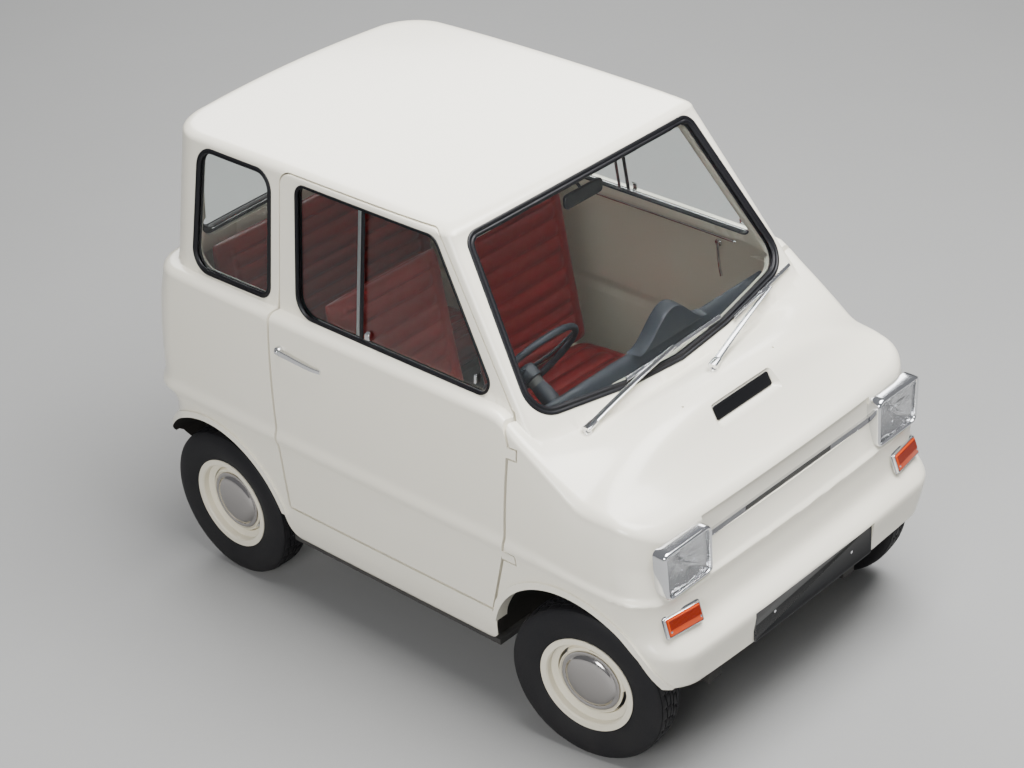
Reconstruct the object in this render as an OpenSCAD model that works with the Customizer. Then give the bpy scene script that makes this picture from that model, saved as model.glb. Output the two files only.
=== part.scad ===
// Two-door electric city microcar, after a moulded glass-fibre original.
// The car faces -Y, its left side is +X, the ground is z = 0. Millimetres.

/* [Overall] */
// Overall length over the bumper bulges
car_length = 2032; // [1980:1:2100]
// Overall width over the side crease
car_width = 1256; // [1236:1:1280]
// Height of the roof's crown above the ground
car_height = 1422; // [1400:1:1450]
// Height of the ledge between the body side and the windows
belt_z = 1000; // [985:1:1015]
// Height of the moulded crease along the side
crease_z = 606; // [590:1:620]
// Height of the underside of the sills
sill_z = 247; // [235:1:255]

/* [Body walls] */
// Thickness of the moulded body with its lining
wall = 36; // [28:1:40]
// Thickness of the roof with its lining
roof_wall = 24; // [18:1:30]
// Thickness of a door with its lining
door_wall = 24; // [22:1:29]
// Gap round the doors
door_gap = 5; // [4.5:0.5:6]
// Width of the flange that each door shuts against
jamb_w = 20; // [14:1:26]

/* [Wheels] */
// Distance between the front and rear axles
wheelbase = 1392; // [1370:1:1410]
// Distance of the front axle ahead of the middle of the car
front_axle = 669; // [655:1:680]
// Distance between the two wheels' middle planes
track = 1066; // [1056:1:1072]
// Radius of the tyres
tyre_r = 237; // [232:1:240]
// Width of the tyres
tyre_w = 112; // [104:1:116]
// Radius of the rim's flange
rim_r = 143.7; // [138:0.1:147]
// Width of the rim over its flanges
rim_w = 94; // [86:1:98]
// Radius of the wheel arch openings
arch_r = 282; // [278:1:290]
// Height of the middle of the arch openings
arch_z = 256; // [250:1:262]

/* [Steering] */
// Angle at which the front wheels stand
steer_rest = 9; // [0:1:12]
// Distance of each king pin from the middle of the car
kingpin_x = 455; // [445:1:465]
// Radius of the stub axles
stub_r = 16; // [14:0.5:18]
// Clearance between a stub axle and its hub
run_clear = 0.05; // [0.03:0.01:0.09]

/* [Windscreen] */
// Height of the middle of the screen's top edge
screen_top_z = 1380; // [1370:1:1385]
// Distance ahead of the middle of the car of that edge
screen_top_y = 232; // [225:1:240]
// Rake of the screen from upright
screen_rake = 34.3; // [33:0.1:35.5]
// Forward bow of the screen across its width
screen_bow = 18; // [10:1:26]
// Width of the rubber seals
seal_w = 24; // [18:1:28]
// Thickness of the glass
glass_t = 5; // [4:0.5:6]

/* [Hidden] */

half_l = car_length / 2;
half_w = car_width / 2;
rear_axle = wheelbase - front_axle;
seat_clear = 0.3;

cream = [0.92, 0.91, 0.86];
rubber = [0.06, 0.06, 0.07];
chrome = [0.75, 0.76, 0.78];
oxblood = [0.45, 0.1, 0.1];
dark = [0.12, 0.12, 0.13];
steel = [0.35, 0.36, 0.38];
clear = [0.75, 0.85, 0.85, 0.4];

// Curves through named points
function mix(a, b, t) = a + (b - a) * t;
function unit_step(t) = max(0, min(1, t));
function ease(t) = let (s = unit_step(t)) s * s * (3 - 2 * s);
function slope(c, i) =
    i == 0 ? (c[1][1] - c[0][1]) / (c[1][0] - c[0][0])
    : i == len(c) - 1 ? (c[i][1] - c[i - 1][1]) / (c[i][0] - c[i - 1][0])
    : (c[i + 1][1] - c[i - 1][1]) / (c[i + 1][0] - c[i - 1][0]);
function place(c, x, i = 0) = i >= len(c) - 2 || x < c[i + 1][0] ? i : place(c, x, i + 1);
function curve(c, x) = let (
    q = max(c[0][0], min(c[len(c) - 1][0], x)), i = place(c, q),
    h = c[i + 1][0] - c[i][0], t = (q - c[i][0]) / h, a = slope(c, i) * h, b = slope(c, i + 1) * h)
    c[i][1] * (1 + 2 * t) * (1 - t) * (1 - t) + a * t * (1 - t) * (1 - t)
    + c[i + 1][1] * t * t * (3 - 2 * t) + b * t * t * (t - 1);

// Plan outline of the body at one height: a bowed front and rear, round corners and bowed sides.
// It runs from the middle of the front round the left side to the middle of the rear.
// Faces inside the walls have fewer points than the skin.
$plain = false;
function half_outline(yf, yr, wf, wm, wr, rf, rr, bf, br) = let (
    front_n = $plain ? 3 : 5, corner_n = $plain ? 3 : 4, side_n = $plain ? 7 : 10) concat(
    [for (i = [0 : front_n - 1]) let (t = i / front_n) [(wf - rf) * t, yf + bf * t * t]],
    [for (i = [0 : corner_n]) let (a = 90 * i / corner_n)
        [wf - rf + rf * sin(a), yf + bf + rf - rf * cos(a)]],
    [for (i = [1 : side_n - 1]) let (t = i / side_n, s = 2 * t - 1)
        [mix(wf, wr, t) + (wm - (wf + wr) / 2) * (1 - s * s * s * s),
         mix(yf + bf + rf, yr - br - rr, pow(t, 1.35))]],
    [for (i = [0 : corner_n]) let (a = 90 * i / corner_n)
        [wr - rr + rr * cos(a), yr - br - rr + rr * sin(a)]],
    [for (i = [front_n - 1 : -1 : 0]) let (t = i / front_n) [(wr - rr) * t, yr - br * t * t]]);
function whole(h) = concat(h, [for (i = [len(h) - 2 : -1 : 1]) [-h[i][0], h[i][1]]]);

// A closed skin over a stack of rings of points, the lowest ring first
module skin(rings) {
    n = len(rings[0]);
    m = len(rings);
    points = [for (r = rings) for (p = r) p];
    // The two halves are split along mirrored diagonals
    quads = [for (k = [0 : m - 2]) for (i = [0 : n - 1]) let (
        a = k * n + i, b = k * n + (i + 1) % n, c = a + n, d = b + n)
        each i < n / 2 ? [[a, c, b], [b, c, d]] : [[a, d, b], [a, c, d]]];
    // The first point and the middle one lie on the middle plane, so both caps are strips across it
    caps = [for (i = [0 : n / 2 - 1]) let (
        a = i, b = i + 1, c = (n - i) % n, d = n - i - 1, u = (m - 1) * n)
        each [if (a != c) [a, b, c], if (b != d) [b, d, c],
              if (a != c) [u + a, u + c, u + b], if (b != d) [u + b, u + c, u + d]]];
    polyhedron(points, concat(quads, caps), convexity = 10);
}

// Lower body. Each line runs round the car: the height at the side, the half width, then the height
// and distance of the same line at the middle of the nose and of the tail.
skirt_lines = [
    [sill_z,         half_w - 43, 335, half_l - 14, 335, half_l - 10],
    [300,            half_w - 30, 375, half_l - 9,  375, half_l - 4],
    [360,            half_w - 23, 430, half_l,      420, half_l],
    [420,            half_w - 19, 455, half_l - 12, 450, half_l - 12],
    [480,            half_w - 15, 492, half_l - 50, 490, half_l - 42],
    [550,            half_w - 11, 545, half_l - 62, 545, half_l - 52],
    [crease_z - 18,  half_w - 7,  577, half_l - 64, 582, half_l - 38]];
crease_line = [crease_z, half_w, 593, half_l - 59, 600, half_l - 10];
// Lines between the crease and the rolled edge: share of the height, then narrowing from the crease
// at the sides, the nose and the tail
upper_lines = [
    [0,    0,  0,  0],
    [0.05, 2,  6,  4],
    [0.1,  8,  12, 10],
    [0.28, 9,  23, 13],
    [0.52, 12, 32, 19],
    [0.78, 18, 32, 30],
    [1,    26, 31, 46]];
nose_taper = 14;
tail_taper = 8;
nose_bow = 12;
tail_bow = 20;
nose_corner_r = 110;
tail_corner_r = 118;
edge_r = 26;

// Height of the top of the body along its middle and along the top of its sides
middle_top = [[-930, 764], [-890, 782], [-850, 811], [-800, 860], [-757, 912], [-725, 930],
    [-680, 932], [-620, 918], [-575, 900], [-500, 920], [-400, 980], [-360, belt_z], [900, belt_z]];
fender_top = [[-930, 768], [-880, 794], [-848, 804], [-788, 814], [-715, 820], [-689, 832],
    [-647, 862], [-602, 893], [-550, 928], [-515, 950], [-470, 982], [-430, belt_z], [900, belt_z]];
crown_power = 2.5;
function body_top(x, y) = let (
    t = min(1, abs(x) / (half_w - 40)))
    mix(curve(middle_top, y), curve(fender_top, y), pow(t, crown_power));

// How far round the nose or the tail a point of a line has come
function nose_share(y) = ease((-y - 560) / (half_l - 560 - 130));
function tail_share(y) = ease((y - 640) / (half_l - 640 - 130));
function outline(yf, yr, w, t) = whole(half_outline(-yf + t, yr - t, w - nose_taper - t, w - t,
    w - tail_taper - t, max(8, nose_corner_r - t), max(8, tail_corner_r - t), nose_bow, tail_bow));
function line_z(l, y) = l[0] + (l[2] - l[0]) * nose_share(y) + (l[4] - l[0]) * tail_share(y);
function skirt_ring(l, t) = [for (p = outline(l[3], l[5], l[1], t)) [p[0], p[1], line_z(l, p[1])]];
function upper_ring(l, t) = [for (p = outline(crease_line[3] - l[2], crease_line[5] - l[3],
    crease_line[1] - l[1], t))
    let (low = line_z(crease_line, p[1]), high = curve(fender_top, p[1]) - edge_r - t)
    [p[0], p[1], mix(low, high, l[0])]];
// The rolled upper edge and the top, as insets from the last line
top_insets = [14, 34, 60, 92, 125, 155, 190, 240, 320, 430, 555];
plain_insets = [34, 92, 155, 230, 360, 555];
function top_ring(inset, drop, t) = let (l = upper_lines[len(upper_lines) - 1], k = inset + t,
    w = crease_line[1] - l[1] - k, q = 1 - inset / 600)
    [for (p = whole(half_outline(-crease_line[3] + l[2] + k, crease_line[5] - l[3] - k,
        w - nose_taper * q, w, w - tail_taper * q, max(8, nose_corner_r - k * 0.7),
        max(8, tail_corner_r - k * 0.7), nose_bow, tail_bow)))
        [p[0], p[1], body_top(p[0], p[1]) - drop - t]];

// Solid inside the lower body's skin, shrunk by t
module lower_solid(t = 0, low = 0) {
    step = $plain ? 2 : 1;
    sides = concat([for (i = [0 : step : 6]) skirt_ring(skirt_lines[i], t)],
        [for (i = [0 : step : 6]) upper_ring(upper_lines[i], t)]);
    roll = [for (a = [20 : 25 * step : 70]) top_ring(edge_r * (1 - cos(a)), edge_r * (1 - sin(a)), t)];
    flat_top = [for (d = $plain ? plain_insets : top_insets) top_ring(d + edge_r, 0, t)];
    foot = t > 0 ? [[for (p = sides[0]) [p[0], p[1], low]]] : [];
    skin(concat(foot, sides, roll, flat_top));
}

// Cabin above the belt
cabin_w = 562;
cabin_lean = 8.6;
cabin_base_z = 960;
cabin_rear_y = 945;
cabin_rear_lean = 3.5;
roof_edge_z = 1384;
roof_r = 28;
cabin_front_r = 26;
cabin_rear_r = 140;
cabin_bow = 16;
function cabin_half(z) = cabin_w - (z - cabin_base_z) * tan(cabin_lean);
function screen_y(z) = -screen_top_y - (screen_top_z - z) * tan(screen_rake);
function rear_y(z) = cabin_rear_y - (z - cabin_base_z) * tan(cabin_rear_lean);
function cabin_ring(z, inset, t) = let (w = cabin_half(z) - inset - t)
    [for (p = whole(half_outline(screen_y(z) + inset + (t - screen_bow) / cos(screen_rake),
        rear_y(z) - inset - t,
        w - 6, w, w - 4, max(10, cabin_front_r - t * 0.5), min(cabin_rear_r - t, w * 0.6), screen_bow / cos(screen_rake), cabin_bow)))
        [p[0], p[1], z]];
function roof_z(x, y) = car_height - 10 * pow(x / 500, 2) - 12 * pow((y - 330) / 600, 2);
function roof_ring(inset, t) =
    [for (p = cabin_ring(roof_edge_z, inset, t)) [p[0], p[1], roof_z(p[0], p[1]) - t * roof_wall / wall]];
module cabin_solid(t = 0) {
    walls = [for (z = [cabin_base_z - 60, 1150, roof_edge_z]) cabin_ring(z, 0, t)];
    roll = [for (a = [25 : $plain ? 50 : 25 : 75]) let (r = cabin_ring(roof_edge_z, roof_r * (1 - cos(a)), t))
        [for (p = r) let (top = roof_z(p[0], p[1]) - t * roof_wall / wall)
            [p[0], p[1], mix(roof_edge_z, top, sin(a) * 0.97)]]];
    top = [for (d = [roof_r, 110, 240, 400]) roof_ring(d, t)];
    skin(concat(walls, roll, top));
}
module whole_solid(t = 0, low = 0) {
    lower_solid(t, low, $plain = t != 0);
    cabin_solid(t, $plain = t != 0);
}

// Outlines lie in the (y, z) plane and are carried across the car, from x = a to x = b
module across(a, b) {
    translate([a, 0, 0])
        rotate([90, 0, 90])
            linear_extrude(b - a)
                children();
}
// Corners are [y, z, radius]
module rounded(corners, grow = 0, $fn = 24) {
    hull()
        for (c = corners)
            translate([c[0], c[1]])
                circle(c[2] + grow);
}
module both_sides() {
    children();
    mirror([1, 0, 0]) children();
}
module on_side(left) {
    if (left) children();
    else mirror([1, 0, 0]) children();
}

// Doors: shut lines seen from the side
shut_rear_y = 412;
shut_foot_z = 366;
shut_top_z = 1402;
shut_top_y = -161;
shut_pillar_y = -457;
shut_front_y = -488;
shut_front_z = 920;
shut_crease_y = -464;
shut_foot_y = -393;
door_corner_r = 40;
shut_corners = [[shut_rear_y - 8, belt_z], [shut_pillar_y - 4, belt_z - 16],
    [shut_front_y + 8, shut_front_z], [shut_crease_y + 8, crease_z],
    [shut_foot_y + 8, shut_foot_z + 8], [shut_rear_y - 8, shut_foot_z + 8]];
module shut_circle(i, grow) {
    translate(shut_corners[i]) circle(8 + grow, $fn = 16);
}
module door_outline(grow = 0) {
    hull() {
        translate([shut_rear_y - door_corner_r, shut_top_z - door_corner_r])
            circle(door_corner_r + grow, $fn = 24);
        translate([shut_top_y, shut_top_z - door_corner_r]) circle(door_corner_r + grow, $fn = 24);
        shut_circle(0, grow);
        shut_circle(1, grow);
    }
    hull() {
        for (i = [0, 1, 2, 3]) shut_circle(i, grow);
        translate([shut_rear_y - 8, crease_z]) circle(8 + grow, $fn = 16);
    }
    hull() {
        for (i = [3, 4, 5]) shut_circle(i, grow);
        translate([shut_rear_y - 8, crease_z]) circle(8 + grow, $fn = 16);
    }
}

// Hinge line of a door, through the tabs in its front edge
hinge_low = [half_w - 11, -490, 580];
hinge_high = [half_w - 22, -506, 902];
tab_h = 33;
tab_reach = 9;
hinge_dir = (hinge_high - hinge_low) / norm(hinge_high - hinge_low);
module tab_outline(p, grow = 0) {
    translate([p[1] - tab_reach - grow, p[2] - tab_h / 2 - grow])
        square([tab_reach + 40 + grow, tab_h + 2 * grow]);
}
// The clear way in, inside the flange that the door shuts against; the pillar stays beside the screen
pillar_w = 46;
module way_in() {
    intersection() {
        offset(delta = -jamb_w) door_outline();
        union() {
            translate([-600, 0]) square([1200, belt_z - 60]);
            translate([pillar_w, 0]) door_outline();
        }
    }
}
// The sides of the body, as a prism that leans with the cabin
module side_zone() {
    translate([0, 1000, 0])
        rotate([90, 0, 0])
            linear_extrude(2000)
                polygon([[548, 0], [700, 0], [700, 1500], [cabin_half(1500) - 60, 1500],
                    [cabin_half(belt_z) - 60, belt_z - 50], [548, belt_z - 60]]);
}
module door_prism(grow = 0, tab_grow = door_gap / 2) {
    intersection() {
        across(400, 700) {
            door_outline(grow);
            tab_outline(hinge_low, tab_grow);
            tab_outline(hinge_high, tab_grow);
        }
        side_zone();
    }
}

// Glazed openings in the sides, as the outline of the glass seen from the side
door_glass_corners = [[316, 1350, 24], [-148, 1338, 36], [-345, 1040, 30], [276, 1070, 58]];
quarter_corners = [[503, 1326, 44], [690, 1318, 50], [710, 1072, 50], [486, 1052, 26]];
side_seal_w = 16;
door_seal_w = 9;
seal_proud = 4;
seal_deep = 22;
// A slab parallel to the leaning side of the cabin, from depth a to depth b inside its skin
module side_slab(a, b) {
    translate([cabin_w, 0, cabin_base_z])
        rotate([0, -cabin_lean, 0])
            translate([-b, -700, -100])
                cube([b - a, 1700, 640]);
}
module side_pane(corners, depth, grow = 0) {
    intersection() {
        across(400, 640) rounded(corners, grow);
        side_slab(depth, depth + glass_t);
    }
}
module side_seal(corners, width, deep) {
    difference() {
        intersection() {
            across(400, 640) rounded(corners, width);
            side_slab(-seal_proud, deep);
        }
        across(380, 660) rounded(corners);
        side_pane(corners, 8, width / 2);
    }
}

// The screen's frame: x across, y up along the glass, z out of it
module on_screen() {
    translate([0, -screen_top_y, screen_top_z])
        rotate([90 - screen_rake, 0, 0])
            children();
}
screen_corners = [[413, -41, 45], [432, -427, 90], [200, -516, 40], [0, -531, 40]];
module screen_outline(grow = 0, $fn = 24) {
    hull()
        for (c = screen_corners)
            for (side = [-1, 1])
                translate([side * c[0], c[1]])
                    circle(c[2] + grow);
}
// A sheet bent round the screen's bow, from height a to height b above its corners
module bent(a, b, bow, half_span, length) {
    r = half_span * half_span / (2 * bow);
    translate([0, -length + 100, bow - r])
        rotate([-90, 0, 0])
            difference() {
                cylinder(r = r + b, h = length, $fn = 720);
                translate([0, 0, -1]) cylinder(r = r + a, h = length + 2, $fn = 720);
            }
}
module screen_sheet(a, b) {
    bent(a, b, screen_bow, 500, 760);
}

// The rear window's frame: x across, y up along the glass, z out of it
module on_tail() {
    translate([0, rear_y(1180) - cabin_bow, 1180])
        rotate([90 + cabin_rear_lean, 0, 180])
            children();
}
tail_corners = [[352, 128, 60], [358, -118, 60]];
module tail_outline(grow = 0, $fn = 24) {
    hull()
        for (c = tail_corners)
            for (side = [-1, 1])
                translate([side * c[0], c[1]])
                    circle(c[2] + grow);
}
module tail_sheet(a, b) {
    bent(a, b, cabin_bow, 385, 500);
}

// Wheel arches: a lip round each opening and a moulded tub behind it
tub_wall = 10;
front_tub_x = 335;
rear_tub_x = 438;
function axle_y(front) = front ? -front_axle : rear_axle;
module arch_cut(front) {
    translate([0, axle_y(front), arch_z])
        rotate([0, 90, 0])
            cylinder(r = arch_r, h = 700, $fn = 40);
    translate([0, axle_y(front) - arch_r, arch_z - 400]) cube([700, 2 * arch_r, 400]);
}
lip_w = 20;
lip_out = 7;
module arch_lips() {
    intersection() {
        difference() {
            whole_solid(-lip_out);
            whole_solid(wall, sill_z - 60);
        }
        both_sides()
            for (front = [true, false])
                translate([450, axle_y(front), arch_z])
                    rotate([0, 90, 0])
                        difference() {
                            cylinder(r = arch_r + lip_w, h = 250, $fn = 40);
                            translate([0, 0, -1]) cylinder(r = arch_r - 0.5, h = 252, $fn = 40);
                        }
        // The lips die out over the sills and in the bulges under the nose and tail
        translate([-half_w - 20, -half_l + 45, 330]) cube([car_width + 40, car_length - 90, 400]);
    }
}
module tub(front) {
    tub_x = front ? front_tub_x : rear_tub_x;
    intersection() {
        difference() {
            translate([tub_x - tub_wall, axle_y(front), arch_z])
                rotate([0, 90, 0])
                    cylinder(r = arch_r + tub_wall, h = half_w - tub_x, $fn = 40);
            translate([tub_x, 0, 0]) arch_cut(front);
        }
        translate([0, axle_y(front) - 400, sill_z]) cube([half_w, 800, 700]);
    }
    difference() {
        translate([tub_x - tub_wall, axle_y(front) - arch_r - tub_wall, sill_z])
            cube([tub_wall, 2 * (arch_r + tub_wall), arch_z - sill_z]);
        translate([tub_x - 40, axle_y(front), tyre_r]) rotate([0, 90, 0]) cylinder(r = 78, h = 60);
    }
}

// Nose: the sunk panel between the headlamps and the sunk place in the bonnet
lamp_x = 454;
lamp_z = 674;
lamp_w = 190;
lamp_h = 148;
lamp_seat_y = -half_l + 104;
lamp_reach = 42;
sunk_w = 720;
sunk_top_z = 756;
sunk_foot_z = 676;
sunk_y = -half_l + 104;
rear_plate_z = 700;
rear_plate_y = half_l - 36;
front_plate_y = -half_l + 15;
plate_w = 521;
plate_h = 100;
plate_z = 385;
plate_t = 3;
firewall_y = -575;
firewall_t = 14;
badge_y = -772;
badge_z = 884;
badge_rake = 62;
badge_w = 236;
badge_h = 44;
module on_badge() {
    translate([0, badge_y, badge_z])
        rotate([badge_rake, 0, 0])
            children();
}
module box(x, y, z) {
    translate([-x / 2, -y / 2, 0]) cube([x, y, z]);
}

module body_shell() {
    color(cream)
        difference() {
            union() {
                difference() {
                    whole_solid();
                    whole_solid(wall, sill_z - 60);
                    both_sides()
                        for (front = [true, false])
                            arch_cut(front);
                }
                intersection() {
                    whole_solid();
                    both_sides()
                        for (front = [true, false])
                            tub(front);
                }
                arch_lips();
                intersection() {
                    whole_solid();
                    difference() {
                        translate([-half_w, firewall_y, sill_z]) cube([car_width, firewall_t, 634]);
                        both_sides()
                            translate([front_tub_x - tub_wall / 2, -front_axle, arch_z])
                                rotate([0, 90, 0])
                                    cylinder(r = arch_r + tub_wall / 2, h = 400, $fn = 40);
                    }
                }
            }
            // Door openings, with a flange left inside for each door to shut against
            both_sides() {
                difference() {
                    door_prism();
                    whole_solid(door_wall + door_gap, sill_z - 60);
                }
                intersection() {
                    across(400, 700) way_in();
                    side_zone();
                }
                across(400, 700) rounded(quarter_corners, side_seal_w);
            }
            on_screen() {
                translate([0, 0, -seal_deep]) linear_extrude(120) screen_outline();
                translate([0, 0, -90]) linear_extrude(120) screen_outline(-seal_w);
            }
            on_tail() {
                translate([0, 0, -seal_deep]) linear_extrude(120) tail_outline();
                translate([0, 0, -90]) linear_extrude(120) tail_outline(-seal_w);
            }
            // Sunk panel and lamp seats
            translate([-sunk_w / 2, -half_l - 50, sunk_foot_z])
                cube([sunk_w, 50 + half_l + sunk_y, sunk_top_z - sunk_foot_z]);
            both_sides()
                translate([lamp_x, lamp_seat_y, lamp_z]) rotate([90, 0, 0]) lamp_block(0, 0, 80);
            for (p = wiper_pivots)
                translate([p[0], p[1], body_top(p[0], p[1]) - 4]) cylinder(r = 14, h = 30, $fn = 24);
            on_badge() hull() {
                translate([0, 0, -6]) box(badge_w, badge_h, 1);
                translate([0, 0, 20]) box(badge_w + 50, badge_h + 50, 1);
            }
            // Flats for the number plates
            translate([-plate_w / 2 - 2, front_plate_y - 40, plate_z - plate_h / 2 - 10])
                cube([plate_w + 4, 40, plate_h + 10]);
            translate([-plate_w / 2 - 2, rear_plate_y, rear_plate_z - plate_h / 2 - 2])
                cube([plate_w + 4, 60, plate_h + 4]);
            both_sides() tail_lamp_block(-1);
            both_sides() on_indicator() translate([0, 0, -6]) box(indicator_w, indicator_h, 40);
        }
}

// The lamps stand on a flat behind their bezels: x across, y up, z out of the car
module lamp_outline(grow = 0, $fn = 24) {
    hull()
        for (c = [[-1, 1, 22, 0], [1, 1, 16, 0], [-1, -1, 16, 0], [1, -1, 26, -6]])
            translate([c[0] * (lamp_w / 2 - c[2]) + c[3], c[1] * (lamp_h / 2 - c[2])])
                circle(c[2] + grow);
}
module lamp_block(grow, a, b) {
    translate([0, 0, a]) linear_extrude(b - a) lamp_outline(grow);
}
lens_inset = 11;
lens_sunk = 7;
module lamp_bezels() {
    color(chrome) {
        both_sides()
            translate([lamp_x, lamp_seat_y, lamp_z])
                rotate([90, 0, 0])
                    difference() {
                        lamp_block(0, 0, lamp_reach);
                        lamp_block(-lens_inset, lamp_reach - lens_sunk - 16, lamp_reach + 1);
                    }
        both_sides()
            on_indicator()
                difference() {
                    translate([0, 0, -6]) box(indicator_w, indicator_h, 16);
                    translate([0, 0, 0]) box(indicator_w - 10, indicator_h - 10, 30);
                }
    }
}
module headlamp_lenses() {
    color(clear)
        both_sides()
            translate([lamp_x, lamp_seat_y, lamp_z])
                rotate([90, 0, 0])
                    lamp_block(-lens_inset, lamp_reach - lens_sunk - 16, lamp_reach - lens_sunk);
}
indicator_x = 485;
indicator_z = 519;
indicator_w = 122;
indicator_h = 56;
indicator_y = -half_l + 66;
indicator_turn = 8;
indicator_lean = 18;
module on_indicator() {
    translate([indicator_x, indicator_y, indicator_z])
        rotate([90 - indicator_lean, 0, indicator_turn])
            children();
}
module indicator_lenses() {
    color("darkorange")
        both_sides()
            on_indicator()
                box(indicator_w - 10, indicator_h - 10, 14);
}
tail_lamp_x = 470;
tail_lamp_z = 700;
module tail_lamp_block(depth) {
    translate([tail_lamp_x - 38, half_l - 62, tail_lamp_z - 65]) cube([76, 36 + depth, 130]);
}
module tail_lamps() {
    color("firebrick")
        both_sides()
            tail_lamp_block(0);
}
module nose_strip() {
    color(chrome)
        translate([-lamp_x + lamp_w / 2, sunk_y - 9, sunk_foot_z])
            cube([2 * lamp_x - lamp_w, 9, 18]);
}
module bonnet_plate() {
    color(dark)
        on_badge()
            translate([0, 0, -5.9]) box(badge_w - 4, badge_h - 4, 4);
}
module number_plates() {
    color(dark) {
        translate([-plate_w / 2, front_plate_y - plate_t, plate_z - plate_h / 2])
            cube([plate_w, plate_t, plate_h]);
        translate([-plate_w / 2, rear_plate_y, rear_plate_z - plate_h / 2]) cube([plate_w, plate_t, plate_h]);
    }
}

module windscreen() {
    color(clear)
        on_screen()
            intersection() {
                translate([0, 0, -60]) linear_extrude(140) screen_outline(-seal_w + 8);
                screen_sheet(-9, -9 + glass_t);
            }
}
module rear_windows() {
    color(clear) {
        on_tail()
            intersection() {
                translate([0, 0, -60]) linear_extrude(140) tail_outline(-seal_w + 8);
                tail_sheet(-9, -9 + glass_t);
            }
        both_sides() side_pane(quarter_corners, 8, side_seal_w / 2);
    }
}
module window_seals() {
    color(rubber) {
        on_screen()
            difference() {
                intersection() {
                    translate([0, 0, -60]) linear_extrude(140) screen_outline();
                    screen_sheet(-60, seal_proud);
                    translate([-600, -700, -seal_deep]) cube([1200, 800, 80]);
                }
                translate([0, 0, -70]) linear_extrude(160) screen_outline(-seal_w);
                intersection() {
                    translate([0, 0, -60]) linear_extrude(140) screen_outline(-seal_w + 8 + seat_clear);
                    screen_sheet(-9 - seat_clear, -9 + glass_t + seat_clear);
                }
            }
        on_tail()
            difference() {
                intersection() {
                    translate([0, 0, -60]) linear_extrude(140) tail_outline();
                    tail_sheet(-60, seal_proud);
                    translate([-600, -400, -seal_deep]) cube([1200, 800, 80]);
                }
                translate([0, 0, -70]) linear_extrude(160) tail_outline(-seal_w);
                intersection() {
                    translate([0, 0, -60]) linear_extrude(140) tail_outline(-seal_w + 8 + seat_clear);
                    tail_sheet(-9 - seat_clear, -9 + glass_t + seat_clear);
                }
            }
        both_sides() side_seal(quarter_corners, side_seal_w, seal_deep);
    }
}

// Doors
door_seal_deep = 24;
module door(left) {
    on_side(left)
        color(cream)
            difference() {
                intersection() {
                    whole_solid();
                    door_prism(-door_gap, -door_gap / 2);
                }
                whole_solid(door_wall, sill_z - 60);
                across(400, 700) rounded(door_glass_corners, door_seal_w);
                handle_recess();
            }
}
handle_y = 279;
handle_z = 910;
handle_length = 168;
module handle_recess() {
    translate([half_w - 16, handle_y - 14, handle_z + 4])
        rotate([0, 90, 0])
            hull() {
                translate([0, 40, 0]) cylinder(r = 24, h = 20, $fn = 24);
                translate([0, -20, 0]) cylinder(r = 12, h = 20, $fn = 24);
                translate([0, 12, -8]) cylinder(r = 14, h = 20, $fn = 24);
            }
}
module door_glass(left) {
    on_side(left)
        color(clear)
            side_pane(door_glass_corners, 8, door_seal_w / 2);
}
module door_seal(left) {
    on_side(left)
        color(rubber)
            side_seal(door_glass_corners, door_seal_w, seal_deep);
}
// Pull handle outside and the latch lever inside
module door_fittings(left) {
    x = half_w - 16;
    on_side(left)
        color(chrome) {
            translate([x + seat_clear, handle_y + handle_length / 2, handle_z]) rotate([0, 90, 0]) cylinder(r = 13, h = 18);
            translate([x + 10, handle_y - handle_length / 2, handle_z - 6])
                cube([9, handle_length, 12]);
        }
}

// Floor platform, on two rails, with a raised deck under the rear seat
floor_t = 18;
rail_x = 300;
rail_w = 50;
rail_h = 40;
deck_y = 500;
deck_z = 392;
floor_half_w = half_w - 46;
module platform() {
    front_end = -front_axle + arch_r + 4;
    color(dark) {
        difference() {
            union() {
                translate([-floor_half_w, front_end, sill_z - floor_t])
                    cube([2 * floor_half_w, rear_axle - arch_r - 4 - front_end, floor_t]);
                translate([-front_tub_x, -900, sill_z - floor_t]) cube([2 * front_tub_x, 600, floor_t]);
                for (side = [-1, 1])
                    translate([side * rail_x - rail_w / 2, -900, sill_z - floor_t - rail_h])
                        cube([rail_w, 1840, rail_h]);
            }
            // The motors hang in an open bay
            translate([-rear_tub_x, deck_y + floor_t, 0]) cube([2 * rear_tub_x, 900, 2 * sill_z]);
        }
        translate([-rear_tub_x + tub_wall + seat_clear, deck_y, sill_z])
            cube([2 * (rear_tub_x - tub_wall - seat_clear), floor_t, deck_z - sill_z]);
        translate([-rear_tub_x + tub_wall + seat_clear, deck_y, deck_z - floor_t])
            cube([2 * (rear_tub_x - tub_wall - seat_clear), 420, floor_t]);
        for (side = [-1, 1])
            translate([side * rail_x - rail_w / 2, deck_y, sill_z - floor_t - rail_h])
                cube([rail_w, 440, rail_h]);
        // Jacking pads
        for (side = [-1, 1])
            translate([side * rail_x - 24, -240, sill_z - floor_t - rail_h - 8])
                cube([48, 80, 8]);
    }
}
module batteries() {
    color(dark)
        for (side = [-1, 1])
            translate([side * seat_x - 170, -120, sill_z]) cube([340, 350, battery_h]);
}
battery_h = 190;
seat_x = 258;
seat_w = 440;
cushion_t = 84;
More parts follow.
